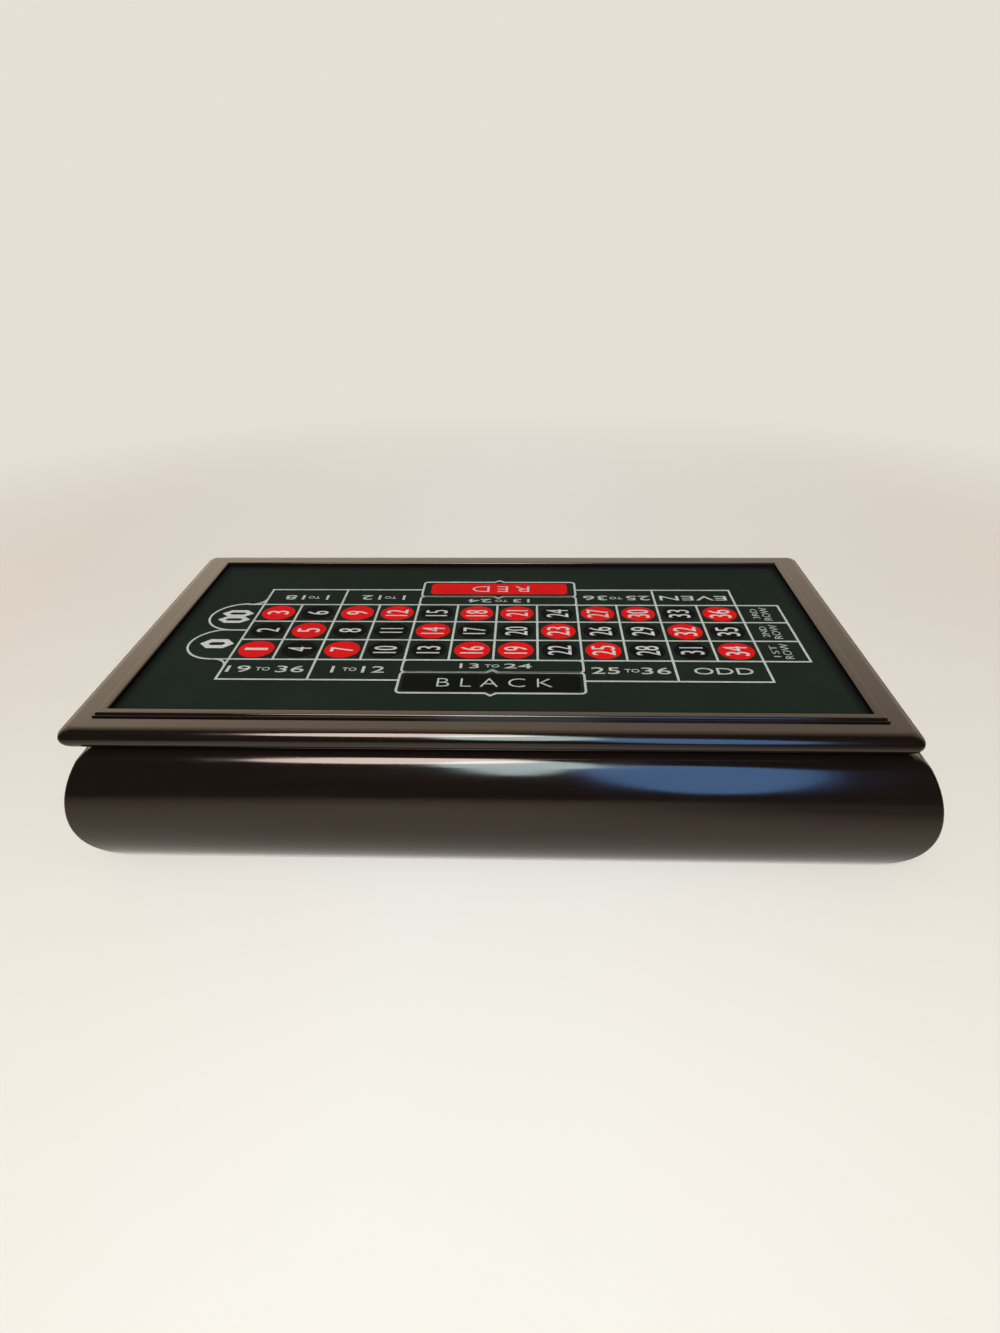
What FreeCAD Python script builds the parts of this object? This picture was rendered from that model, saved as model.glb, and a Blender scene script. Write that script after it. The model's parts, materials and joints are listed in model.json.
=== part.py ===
import FreeCAD, Part
import math
import os

# A roulette set case: a bulged, mitred box whose loose lid carries the felt betting layout.
# Inside are a small roulette wheel on its spindle, a tray of chips, two balls and a rake.
# Millimetres. Origin: on the table under the middle of the base. +X right, +Y back, +Z up.

Vector = FreeCAD.Vector
UP = Vector(0, 0, 1)

# ---- Base: four bulged walls, mitred at the corners
base_length = 471.0          # outline at the belly, left to right
base_width = 273.0           # outline at the belly, front to back
rim_height = 80.0            # top of the walls above the table
belly_height = 40.5          # level at which the walls bulge most
sole_inset = 19.0            # how far the bottom edge stands inside the belly
shoulder_drop = 2.0          # the rounded shoulder's top below the rim
shoulder_inset = 12.5        # the bulge's line at that level, before it is rounded, inside the belly
shoulder_round = 11.4
lip_setback = 1.0            # from the rounded shoulder to the lip that carries the lid
wall_thickness = 26.0        # belly to inner face
corner_round = 1.6           # sanded rounding of the outer mitre edges
foot_pad_thickness = 1.5
foot_pad_radius = 10.0
corner_block_leg = 48.0
panel_height = 8.0           # underside of the bottom panel above the table
panel_thickness = 5.0
panel_clearance = 0.5        # the panel floats in its groove by this much all round
groove_depth = 6.0
liner_thickness = 1.0

# ---- Loose tongues that key the mitres
tongue_thickness = 3.0
tongue_width = 10.0
tongue_end_margin = 8.0      # tongue ends below the rim and above the bottom panel
lid_tongue_thickness = 2.0
lid_tongue_width = 14.0
lid_tongue_margin = 4.0      # from the rail's nose line and from its inner face

# ---- Lid: mitred frame, layout board, felt, bead strips and locating battens
lid_reveal = 8.0             # the belly stands out past the lid's edge
lid_play = 7.0               # batten to inner wall, all round, with the lid centred
batten_gap_left = 0.6        # what is left of that play on the left, as the lid lies
batten_gap_back = 4.5        # and at the back
lid_thickness = 12.0         # the edge is a full round of half this radius
lid_corner_round = 4.0       # sanded rounding of the lid's outer mitre edges
rail_flat_width = 9.0        # flat between the rounded edge and the bead strip
bead_width = 6.3
bead_rise = 2.1              # crest above the rail's flat
bead_round = 1.0
bead_step_width = 1.2
bead_step_rise = 1.0
felt_drop = 1.0              # felt lies below the rail's flat
felt_thickness = 1.0
board_thickness = 4.0
board_clearance = 0.3
batten_thickness = 8.0
batten_drop = 6.0            # battens reach this far below the rim
lining_thickness = 1.0

# ---- Deck inside the base
deck_height = 44.0           # deck's top above the floor liner
deck_thickness = 6.0
deck_clearance = 0.5
ledge_width = 8.0
ledge_height = 10.0

# ---- Wheel bowl
wheel_side_gap = 9.5         # bowl flange to the base's inner walls, front and back
wheel_end_gap = 4.5          # the same on the left
flange_width = 6.0           # flange beyond the bowl's body, over the deck
flange_thickness = 4.0
flange_round = 1.5
bowl_wall = 3.5
bowl_floor = 6.0
bowl_foot_inset = 13.0
bowl_foot_rise = 26.0        # height over which the outside tucks in to the foot
track_round = 3.0            # corner between the rim wall and the apron
apron_width = 17.0
apron_rise = 9.0
apron_lip = 1.0              # apron's inner edge above the rotor's outer edge

# ---- Rotor and its bearing
rotor_gap = 1.0              # rotor's rim to the bowl, all round
rotor_lift = 0.5             # rotor disc above the thrust washer
spindle_radius = 3.0
spindle_clearance = 0.05     # running clearance in the bushing
boss_radius = 12.0
boss_height = 2.0
washer_radius = 8.0
washer_thickness = 1.5
bushing_radius = 6.0
bushing_length = 21.5
spindle_proud = 2.0          # spindle's end above the bushing
rotor_disc_thickness = 5.0
number_ring_width = 11.5
number_ring_rise = 4.5
pocket_width = 12.0
pocket_floor_thickness = 3.0
pocket_depth = 5.5
pocket_count = 38
fret_thickness = 0.6
cone_rise = 10.5
cone_top_radius = 9.0
cone_sag = 2.0               # hollow of the cone's side below the straight line

# ---- Turret on the rotor
turret_foot_radius = 8.5
turret_foot_height = 2.0
turret_neck_radius = 3.2
turret_stem_height = 12.0
turret_hub_radius = 5.0
turret_arm_radius = 1.5
turret_arm_reach = 23.0
turret_knob_radius = 3.0
finial_height = 8.5
finial_radius = 4.2

# ---- Ball deflectors on the apron
deflector_count = 8
deflector_length = 9.0
deflector_width = 3.6
deflector_height = 1.8

# ---- Chip tray, chips, balls and rake
tray_gap = 6.0               # bowl flange to tray flange
tray_end_gap = 6.5           # tray flange to the right-hand wall
tray_side_gap = 9.5          # tray flange to the front and back walls
tray_flange_width = 5.0
tray_flange_thickness = 2.5
tray_floor = 4.6             # wood left under a trough
tray_web = 14.0              # wood between troughs end to end, and at their ends
trough_pitch = 34.0
trough_rows = 3
trough_edge = 6.5            # first trough to the tray body's back edge
chip_radius = 14.0
chip_thickness = 2.6
chip_edge_round = 0.25
chip_clearance = 0.4         # chip to trough wall
chip_rest_gap = 0.05
chip_row_slack = 1.5         # spare length in a trough
chip_sink = 3.5              # chips' axis below the tray's top
ball_diameter = 7.5
ball_cup_clearance = 0.8
ball_rest_gap = 0.05
ball_pitch = 16.0
rake_edge_gap = 12.0         # rake head's pocket to the tray body's front edge
rake_head_gap = 20.7         # last row of chips' trough to the rake's head
rake_head_depth = 8.0
rake_head_height = 20.0
rake_edge_thickness = 3.0
rake_handle_radius = 3.5
rake_tenon = 5.0             # handle let into the head
rake_clearance = 0.8
rake_end_margin = 8.0
ferrule_length = 12.0
ferrule_wall = 1.0
rake_sink = 2.5              # handle's axis below the tray's top

# ---- Screws
deck_screw_length = 12.0
bowl_screw_length = 11.0
bowl_screw_circle = 30.0
batten_screw_length = 18.0
rotor_screw_length = 9.0
rotor_screw_circle = 30.0
rotor_screw_head = 1.2
screw_radius = 1.4
screw_head_radius = 2.6
screw_head_height = 1.6
screw_recess = 0.7           # width and depth of the cross recess
deck_screw_inset = 14.5      # from the end walls
batten_screw_inset = 40.0    # from the batten's ends

# ---- Levels and half sizes that follow
half_length = base_length / 2
half_width = base_width / 2
shoulder_top = rim_height - shoulder_drop
inner_half_length = half_length - wall_thickness
inner_half_width = half_width - wall_thickness
sole_height = foot_pad_thickness
panel_top = panel_height + panel_thickness
floor_top = panel_top + liner_thickness
deck_top = floor_top + deck_height
deck_bottom = deck_top - deck_thickness

lid_half_length = half_length - lid_reveal
lid_half_width = half_width - lid_reveal
lid_x = batten_gap_left - lid_play
lid_y = lid_play - batten_gap_back
nose_radius = lid_thickness / 2
lid_top = rim_height + lid_thickness
felt_top = lid_top - felt_drop
board_top = felt_top - felt_thickness
ledge_level = board_top - board_thickness
step_inset = nose_radius + rail_flat_width
rail_width = wall_thickness + lid_play - lid_reveal
batten_bottom = rim_height - batten_drop

flange_radius = inner_half_width - wheel_side_gap
wheel_x = flange_radius + wheel_end_gap - inner_half_length
bowl_radius = flange_radius - flange_width
track_radius = bowl_radius - bowl_wall
apron_radius = track_radius - apron_width
rotor_radius = apron_radius - rotor_gap
ring_radius = rotor_radius - number_ring_width
cone_radius = ring_radius - pocket_width
bowl_floor_top = floor_top + bowl_floor
boss_top = bowl_floor_top + boss_height
washer_top = boss_top + washer_thickness
rotor_bottom = washer_top + rotor_lift
disc_top = rotor_bottom + rotor_disc_thickness
pocket_floor_top = disc_top + pocket_floor_thickness
fret_top = pocket_floor_top + pocket_depth
ring_top = fret_top + number_ring_rise
apron_inner_level = ring_top + apron_lip
apron_outer_level = apron_inner_level + apron_rise
bowl_top = deck_top + flange_thickness
cone_top = fret_top + cone_rise
bushing_top = washer_top + bushing_length
spindle_top = bushing_top + spindle_proud
stem_top = cone_top + turret_stem_height

tray_left = wheel_x + flange_radius + tray_gap + tray_flange_width
tray_right = inner_half_length - tray_end_gap - tray_flange_width
tray_half_width = inner_half_width - tray_side_gap - tray_flange_width
tray_top = deck_top + tray_flange_thickness
trough_radius = chip_radius + chip_clearance
trough_axis = tray_top - chip_sink
tray_bottom = trough_axis - trough_radius - tray_floor
trough_length = (tray_right - tray_left - 3 * tray_web) / 2
chips_in_row = int((trough_length - chip_row_slack) / chip_thickness)
trough_span = trough_edge + 2 * trough_radius + (trough_rows - 1) * trough_pitch
rake_head_width = 2 * tray_half_width - trough_span - rake_head_gap - rake_edge_gap
rake_axis = tray_top - rake_sink

os.makedirs("parts", exist_ok=True)


def box(x0, x1, y0, y1, z0, z1):
    return Part.makeBox(x1 - x0, y1 - y0, z1 - z0, Vector(x0, y0, z0))


def slab(half_x, half_y, z0, z1, x=0.0, y=0.0):
    """A block centred on (x, y) between two levels."""
    return box(x - half_x, x + half_x, y - half_y, y + half_y, z0, z1)


def rod(radius, start, end):
    """A round rod from one point to another."""
    start = Vector(*start)
    along = Vector(*end) - start
    return Part.makeCylinder(radius, along.Length, start, along)


def closed_wire(steps, to_point):
    """A closed outline: a step (a, b) is a straight run, ((a, b), (a, b)) an arc's middle and end."""
    edges = []
    here = to_point(*steps[0])
    for step in steps[1:] + steps[:1]:
        if isinstance(step[0], tuple):
            middle = to_point(*step[0])
            end = to_point(*step[1])
            edges.append(Part.Arc(here, middle, end).toShape())
        else:
            end = to_point(*step)
            edges.append(Part.makeLine(here, end))
        here = end
    return Part.Wire(edges)


def turned(steps, x=0.0, y=0.0):
    """A piece turned about the upright axis at (x, y), from an outline of (radius, height) steps."""
    face = Part.Face(closed_wire(steps, lambda radius, height: Vector(radius, 0, height)))
    piece = face.revolve(Vector(0, 0, 0), UP, 360)
    piece.translate(Vector(x, y, 0))
    return piece


def quarter(centre, radius, angle):
    """The point of a circle at an angle in degrees, for the middle of a rounded corner."""
    turn = math.radians(angle)
    return (centre[0] + radius * math.cos(turn), centre[1] + radius * math.sin(turn))


def plan_prism(points, z0, z1):
    """A prism over a plan outline."""
    wire = Part.makePolygon([Vector(x, y, z0) for x, y in points + points[:1]])
    return Part.Face(wire).extrude(Vector(0, 0, z1 - z0))


def side_keepers(half_x, half_y, depth, z0, z1, x=0.0, y=0.0):
    """Four plan wedges that cut a frame into front, right, back and left rails along its mitres."""
    reach = 10.0
    out_x, out_y = half_x + reach, half_y + reach
    in_x, in_y = half_x - depth, half_y - depth
    outer = [(-out_x, -out_y), (out_x, -out_y), (out_x, out_y), (-out_x, out_y)]
    inner = [(-in_x, -in_y), (in_x, -in_y), (in_x, in_y), (-in_x, in_y)]
    keepers = {}
    for number, side in enumerate(("front", "right", "back", "left")):
        following = (number + 1) % 4
        points = [outer[number], outer[following], inner[following], inner[number]]
        keeper = plan_prism(points, z0, z1)
        keeper.translate(Vector(x, y, 0))
        keepers[side] = keeper
    return keepers


def corners(half_x, half_y, x=0.0, y=0.0):
    """The four corners of a rectangle, with the signs of each."""
    return [(x + sx * half_x, y + sy * half_y, sx, sy) for sx in (-1, 1) for sy in (-1, 1)]


def cut_all(shape, tools):
    return shape.cut(tools) if tools else shape


def export(name, shapes):
    """Writes one node, a single solid or a group of separate ones."""
    solids = [solid for shape in shapes for solid in shape.Solids]
    shape = solids[0] if len(solids) == 1 else Part.makeCompound(solids)
    shape.exportStep(os.path.join("parts", name + ".step"))


# ---- Screws -----------------------------------------------------------------

def screw_blank(length):
    """A countersunk screw, head upwards with its top at height 0, before its recess is cut."""
    steps = [(0, 0), (screw_head_radius, 0), (screw_radius, -screw_head_height)]
    steps += [(screw_radius, screw_radius - length), (0, -length)]
    return turned(steps)


def driven(shape, place, direction):
    """The shape moved so that its head is at place and it points along direction."""
    moved = shape.copy()
    turn = FreeCAD.Rotation(Vector(0, 0, -1), Vector(*direction))
    moved.Placement = FreeCAD.Placement(Vector(*place), turn)
    return moved


def screws(length, places):
    """Screws, and the holes they make, at (place, direction) pairs."""
    blank = screw_blank(length)
    reach = 0.6 * screw_head_radius
    half = screw_recess / 2
    recess = slab(reach, half, -screw_recess, 1).fuse(slab(half, reach, -screw_recess, 1))
    finished = blank.cut(recess)
    pieces = [driven(finished, place, direction) for place, direction in places]
    holes = [driven(blank, place, direction) for place, direction in places]
    return pieces, holes


# ---- Base -------------------------------------------------------------------

def bulge_radius(height, inset):
    """Radius of the arc that leaves the belly upright and stands in by inset at that height."""
    return (height ** 2 + inset ** 2) / (2 * inset)


def shoulder_centre():
    """Centre of the shoulder's arc, inset from the belly, and the turn at which it meets the bulge."""
    radius = bulge_radius(shoulder_top - belly_height, shoulder_inset)
    level = shoulder_top - shoulder_round
    turn = math.asin((level - belly_height) / (radius - shoulder_round))
    return radius - (radius - shoulder_round) * math.cos(turn), level, turn


def wall_side(span):
    """A wall's outer face as an outline, from the sole over the shoulder to the lip."""
    low = bulge_radius(belly_height - sole_height, sole_inset)
    high = bulge_radius(shoulder_top - belly_height, shoulder_inset)
    low_turn = math.asin((belly_height - sole_height) / low)
    inset, level, turn = shoulder_centre()
    centre = (span - inset, level)
    below = quarter((span - low, belly_height), low, -math.degrees(low_turn) / 2)
    above = quarter((span - high, belly_height), high, math.degrees(turn) / 2)
    meeting = quarter((span - high, belly_height), high, math.degrees(turn))
    lip = span - inset - lip_setback
    return [
        (span - sole_inset, sole_height), (below, (span, belly_height)), (above, meeting),
        (quarter(centre, shoulder_round, 45 + math.degrees(turn) / 2), (centre[0], shoulder_top)),
        (lip, shoulder_top), (lip, rim_height),
    ]


def other_side(steps):
    """The same outline run backwards on the other side of the middle."""
    ends = [step[1] if isinstance(step[0], tuple) else step for step in steps]
    path = [(-ends[-1][0], ends[-1][1])]
    for number in range(len(steps) - 1, 0, -1):
        reached = (-ends[number - 1][0], ends[number - 1][1])
        if isinstance(steps[number][0], tuple):
            middle = steps[number][0]
            path.append(((-middle[0], middle[1]), reached))
        else:
            path.append(reached)
    return path


def bulged_bar(half_span, half_run, along_x):
    """A bar whose two long sides are shaped like the case's walls."""
    steps = wall_side(half_span)
    steps += other_side(steps)
    if along_x:
        wire = closed_wire(steps, lambda across, height: Vector(-half_run, across, height))
        return Part.Face(wire).extrude(Vector(2 * half_run, 0, 0))
    wire = closed_wire(steps, lambda across, height: Vector(across, -half_run, height))
    return Part.Face(wire).extrude(Vector(0, 2 * half_run, 0))


def mitre_edges(form, outer_x, outer_y):
    """The form's edges that stand in the mitre planes of a rectangle."""
    edges = []
    for edge in form.Edges:
        ends = [vertex.Point for vertex in edge.Vertexes]
        on_mitre = all(abs((outer_x - abs(p.x)) - (outer_y - abs(p.y))) < 0.01 for p in ends)
        if on_mitre and abs(ends[0].z - ends[-1].z) > 1:
            edges.append(edge)
    return edges


def base_outer():
    """The base's outer form, with its four upright mitre edges sanded round."""
    reach = 5.0
    form = bulged_bar(half_width, half_length + reach, True)
    form = form.common(bulged_bar(half_length, half_width + reach, False))
    return form.makeFillet(corner_round, mitre_edges(form, half_length, half_width))


def base_tongues():
    """Loose tongues standing across the base's mitres."""
    middle = (shoulder_inset + wall_thickness) / 2
    tongue = slab(tongue_width / 2, tongue_thickness / 2, panel_top, rim_height - tongue_end_margin)
    pieces = []
    for x, y, sx, sy in corners(half_length - middle, half_width - middle):
        piece = tongue.copy()
        piece.rotate(Vector(0, 0, 0), UP, -45 * sx * sy)
        piece.translate(Vector(x, y, 0))
        pieces.append(piece)
    return pieces


def base_walls(tongues):
    """The four walls, cut from the hollowed form along the mitres."""
    form = base_outer()
    form = form.cut(slab(inner_half_length, inner_half_width, 0, rim_height + 1))
    groove = slab(inner_half_length + groove_depth, inner_half_width + groove_depth, panel_height, panel_top)
    form = cut_all(form.cut(groove), tongues)
    keepers = side_keepers(half_length, half_width, wall_thickness + 5, 0, rim_height + 1)
    return {side: form.common(keeper) for side, keeper in keepers.items()}


def bottom_panel():
    reach = groove_depth - panel_clearance
    return slab(inner_half_length + reach, inner_half_width + reach, panel_height, panel_top)


def corner_blocks():
    """Three-cornered glue blocks under the bottom panel."""
    pieces = []
    for x, y, sx, sy in corners(inner_half_length, inner_half_width):
        points = [(x, y), (x - sx * corner_block_leg, y), (x, y - sy * corner_block_leg)]
        pieces.append(plan_prism(points, sole_height, panel_height))
    return pieces


def foot_pad_places():
    offset = corner_block_leg / 3
    return [(x, y) for x, y, _, _ in corners(inner_half_length - offset, inner_half_width - offset)]


def foot_pads():
    return [rod(foot_pad_radius, (x, y, 0), (x, y, foot_pad_thickness)) for x, y in foot_pad_places()]


def deck_ledges():
    """Strips on the inner walls that carry the deck."""
    z0, z1 = deck_bottom - ledge_height, deck_bottom
    pieces = []
    for sign in (-1, 1):
        y = sign * (inner_half_width - ledge_width / 2)
        pieces.append(slab(inner_half_length, ledge_width / 2, z0, z1, 0, y))
        x = sign * (inner_half_length - ledge_width / 2)
        pieces.append(slab(ledge_width / 2, inner_half_width - ledge_width, z0, z1, x, 0))
    return pieces


def deck_board():
    deck = slab(
        inner_half_length - deck_clearance, inner_half_width - deck_clearance, deck_bottom, deck_top
    )
    wheel_hole = rod(bowl_radius + deck_clearance, (wheel_x, 0, 0), (wheel_x, 0, deck_top + 1))
    tray_hole = box(
        tray_left - deck_clearance, tray_right + deck_clearance,
        -tray_half_width - deck_clearance, tray_half_width + deck_clearance, 0, deck_top + 1,
    )
    return deck.cut(wheel_hole).cut(tray_hole)


def deck_screw_places():
    y = inner_half_width - ledge_width / 2
    x = inner_half_length - deck_screw_inset
    return [((place, sign * y, deck_top), (0, 0, -1)) for place in (-x, 0, x) for sign in (-1, 1)]


# ---- Wheel bowl -------------------------------------------------------------

def wheel_bowl():
    """The turned bowl: flange over the deck, ball track, sloping apron, floor and bearing boss."""
    track_centre = (track_radius - track_round, apron_outer_level + track_round)
    flange_corner = (flange_radius - flange_round, bowl_top - flange_round)
    steps = [
        (spindle_radius, floor_top),
        (bowl_radius - bowl_foot_inset, floor_top),
        (
            (bowl_radius - bowl_foot_inset * 0.28, floor_top + bowl_foot_rise * 0.42),
            (bowl_radius, floor_top + bowl_foot_rise),
        ),
        (bowl_radius, deck_top),
        (flange_radius, deck_top),
        (flange_radius, flange_corner[1]),
        (quarter(flange_corner, flange_round, 45), (flange_corner[0], bowl_top)),
        (track_radius + flange_round, bowl_top),
        (
            quarter((track_radius + flange_round, bowl_top - flange_round), flange_round, 135),
            (track_radius, bowl_top - flange_round),
        ),
        (track_radius, track_centre[1]),
        (quarter(track_centre, track_round, -45), (track_centre[0], apron_outer_level)),
        (apron_radius, apron_inner_level),
        (apron_radius, bowl_floor_top),
        (boss_radius, bowl_floor_top),
        (boss_radius, boss_top),
        (spindle_radius, boss_top),
    ]
    return turned(steps, wheel_x)


def ball_deflectors(bowl):
    """Eight diamond studs on the apron, set along and across the slope by turns."""
    run = track_radius - track_round - apron_radius
    slope = math.degrees(math.atan2(apron_rise, run))
    radius = apron_radius + run / 2
    level = apron_inner_level + apron_rise / 2
    sink = 0.5
    pieces = []
    for number in range(deflector_count):
        half_along = deflector_length / 2
        half_across = deflector_width / 2
        if number % 2:
            half_along, half_across = half_across, half_along
        rim = [
            Vector(half_along, 0, 0), Vector(0, half_across, 0),
            Vector(-half_along, 0, 0), Vector(0, -half_across, 0),
        ]
        low = [point - Vector(0, 0, sink) for point in rim]
        peak = Vector(0, 0, deflector_height)
        faces = [Part.Face(Part.makePolygon(low + low[:1]))]
        for a in range(4):
            b = (a + 1) % 4
            faces.append(Part.Face(Part.makePolygon([low[a], low[b], rim[b], rim[a], low[a]])))
            faces.append(Part.Face(Part.makePolygon([rim[a], rim[b], peak, rim[a]])))
        stud = Part.Solid(Part.Shell(faces))
        stud.rotate(Vector(0, 0, 0), Vector(0, 1, 0), -slope)
        stud.translate(Vector(radius, 0, level))
        stud.rotate(Vector(0, 0, 0), UP, (number + 0.5) * 360 / deflector_count)
        stud.translate(Vector(wheel_x, 0, 0))
        pieces.append(stud.cut(bowl))
    return pieces


def bowl_screw_places():
    places = []
    for number in range(3):
        x, y = quarter((wheel_x, 0), bowl_screw_circle, 90 + 120 * number)
        places.append(((x, y, panel_height), (0, 0, 1)))
    return places


def spindle():
    """Steel spindle, fixed in the bowl's boss."""
    tip = spindle_radius / 3
    steps = [(0, floor_top), (spindle_radius, floor_top), (spindle_radius, spindle_top - tip)]
    steps += [(spindle_radius - tip, spindle_top), (0, spindle_top)]
    return turned(steps, wheel_x)


def thrust_washer():
    steps = [(spindle_radius, boss_top), (washer_radius, boss_top)]
    steps += [(washer_radius, washer_top), (spindle_radius, washer_top)]
    return turned(steps, wheel_x)


# ---- Rotor ------------------------------------------------------------------

def ring(inner, outer, z0, z1):
    return turned([(inner, z0), (outer, z0), (outer, z1), (inner, z1)], wheel_x)


def number_ring():
    """The sloping ring that carries the numbers, outside the pockets."""
    edge = 0.8
    steps = [
        (ring_radius, disc_top), (rotor_radius, disc_top), (rotor_radius, ring_top - edge),
        (quarter((rotor_radius - edge, ring_top - edge), edge, 45), (rotor_radius - edge, ring_top)),
        (ring_radius, fret_top),
    ]
    return turned(steps, wheel_x)


def rotor_cone():
    """The turned wooden cone inside the pockets."""
    middle_radius = (cone_radius + cone_top_radius) / 2
    middle_level = (fret_top + cone_top) / 2 - cone_sag
    steps = [
        (bushing_radius, disc_top), (cone_radius, disc_top), (cone_radius, fret_top),
        ((middle_radius, middle_level), (cone_top_radius, cone_top)),
        (bushing_radius, cone_top),
    ]
    return turned(steps, wheel_x)


def pocket_frets():
    """Thin plates between the pockets."""
    plate = box(
        cone_radius, ring_radius - 0.1, -fret_thickness / 2, fret_thickness / 2, pocket_floor_top, fret_top
    )
    wall = ring(cone_radius, ring_radius, pocket_floor_top, fret_top)
    pieces = []
    for number in range(pocket_count):
        piece = plate.copy()
        piece.rotate(Vector(0, 0, 0), UP, (number + 0.5) * 360 / pocket_count)
        piece.translate(Vector(wheel_x, 0, 0))
        pieces.append(piece.common(wall))
    return pieces


def turret_base():
    """The turned stem on the cone."""
    steps = [
        (0, cone_top), (turret_foot_radius, cone_top),
        (turret_foot_radius, cone_top + turret_foot_height * 0.6),
        (turret_neck_radius + 2, cone_top + turret_foot_height),
        (
            (turret_neck_radius, cone_top + turret_stem_height * 0.45),
            (turret_neck_radius + 0.8, stem_top - turret_arm_radius * 2.4),
        ),
        (0, stem_top - turret_arm_radius * 2.4),
    ]
    return turned(steps, wheel_x)


def turret_arms():
    """Hub with four arms and their knobs, cast in one."""
    low = stem_top - turret_arm_radius * 2.4
    level = (low + stem_top) / 2
    cross = turned(
        [(0, low), (turret_hub_radius, low), (turret_hub_radius, stem_top), (0, stem_top)], wheel_x
    )
    for number in range(4):
        tip = quarter((wheel_x, 0), turret_arm_reach, 45 + 90 * number)
        arm = rod(turret_arm_radius, (wheel_x, 0, level), (tip[0], tip[1], level))
        knob = Part.makeSphere(turret_knob_radius, Vector(tip[0], tip[1], level))
        cross = cross.fuse(arm).fuse(knob)
    return cross.removeSplitter()


def turret_finial():
    """The knob on top of the turret."""
    neck = finial_radius * 0.45
    middle = stem_top + finial_height * 0.55
    steps = [
        (0, stem_top), (finial_radius * 0.8, stem_top), (neck, stem_top + finial_height * 0.22),
        ((finial_radius, middle), (neck * 0.7, stem_top + finial_height * 0.92)),
        (0, stem_top + finial_height),
    ]
    return turned(steps, wheel_x)


def rotor_screws():
    """Cheese-head screws that hold the cone to the rotor disc from below, and their holes."""
    steps = [
        (0, rotor_bottom), (screw_head_radius, rotor_bottom),
        (screw_head_radius, rotor_bottom + rotor_screw_head), (screw_radius, rotor_bottom + rotor_screw_head),
        (screw_radius, rotor_bottom + rotor_screw_length), (0, rotor_bottom + rotor_screw_length),
    ]
    blank = turned(steps)
    slot = slab(screw_head_radius, screw_recess / 2, rotor_bottom, rotor_bottom + screw_recess)
    finished = blank.cut(slot)
    pieces = []
    holes = []
    for number in range(3):
        x, y = quarter((wheel_x, 0), rotor_screw_circle, 30 + 120 * number)
        for source, group in ((finished, pieces), (blank, holes)):
            moved = source.copy()
            moved.translate(Vector(x, y, 0))
            group.append(moved)
    return pieces, holes


# ---- Tray and its contents --------------------------------------------------

def trough_places():
    """Left end and row line of each chip trough, row by row from the back."""
    places = []
    for row in range(trough_rows):
        y = tray_half_width - trough_edge - trough_radius - row * trough_pitch
        for column in range(2):
            x = tray_left + tray_web + column * (trough_length + tray_web)
            places.append((x, y))
    return places


def rake_line():
    """The handle's line, front to back."""
    return rake_edge_gap + rake_head_width / 2 - tray_half_width


def ball_places():
    """The balls lie in two cups between the chips and the rake."""
    last_row = trough_places()[-1][1]
    y = (last_row - trough_radius + rake_line() + rake_handle_radius) / 2
    x = (tray_left + tray_right) / 2
    return [(x - ball_pitch / 2, y), (x + ball_pitch / 2, y)]


def rake_span():
    """Left end of the head and right end of the handle."""
    return tray_left + rake_end_margin + rake_clearance, tray_right - rake_end_margin - rake_clearance


def chip_tray():
    """A flanged wooden tray with troughs for chips, cups for balls and a recess for the rake."""
    tray = box(tray_left, tray_right, -tray_half_width, tray_half_width, tray_bottom, deck_top)
    flange = box(
        tray_left - tray_flange_width, tray_right + tray_flange_width,
        -tray_half_width - tray_flange_width, tray_half_width + tray_flange_width, deck_top, tray_top,
    )
    rim = [edge for edge in flange.Edges if all(v.Point.z > tray_top - 0.01 for v in edge.Vertexes)]
    tray = tray.fuse(flange.makeFillet(tray_flange_thickness / 3, rim)).removeSplitter()
    above = tray_top + 1
    hollows = []
    for x, y in trough_places():
        hollows.append(rod(trough_radius, (x, y, trough_axis), (x + trough_length, y, trough_axis)))
        hollows.append(box(x, x + trough_length, y - trough_radius, y + trough_radius, trough_axis, above))
    cup = ball_diameter / 2 + ball_cup_clearance
    for x, y in ball_places():
        hollows.append(Part.makeSphere(cup, Vector(x, y, tray_top - cup / 3)))
        hollows.append(rod(cup, (x, y, tray_top - cup / 3), (x, y, above)))
    left, right = rake_span()
    line = rake_line()
    reach = rake_head_width / 2 + rake_clearance
    hollows.append(
        box(
            left - rake_clearance, left + rake_head_height + rake_clearance, line - reach, line + reach,
            rake_axis - rake_head_depth / 2 - rake_clearance, above,
        )
    )
    channel = rake_handle_radius + ferrule_wall + rake_clearance
    hollows.append(rod(channel, (left, line, rake_axis), (right + rake_clearance, line, rake_axis)))
    hollows.append(box(left, right + rake_clearance, line - channel, line + channel, rake_axis, above))
    for hollow in hollows:
        tray = tray.cut(hollow)
    return tray


def chip_rows():
    """One row of chips for each trough."""
    soft = chip_edge_round
    steps = [
        (0, 0), (chip_radius - soft, 0), (chip_radius, soft), (chip_radius, chip_thickness - soft),
        (chip_radius - soft, chip_thickness), (0, chip_thickness),
    ]
    chip = turned(steps)
    chip.rotate(Vector(0, 0, 0), Vector(0, 1, 0), 90)
    level = trough_axis - chip_clearance + chip_rest_gap
    rows = []
    for x, y in trough_places():
        row = []
        for number in range(chips_in_row):
            piece = chip.copy()
            piece.translate(Vector(x + chip_row_slack / 2 + number * chip_thickness, y, level))
            row.append(piece)
        rows.append(row)
    return rows


def balls():
    cup = ball_diameter / 2 + ball_cup_clearance
    level = tray_top - cup / 3 - ball_cup_clearance + ball_rest_gap
    return [Part.makeSphere(ball_diameter / 2, Vector(x, y, level)) for x, y in ball_places()]


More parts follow.
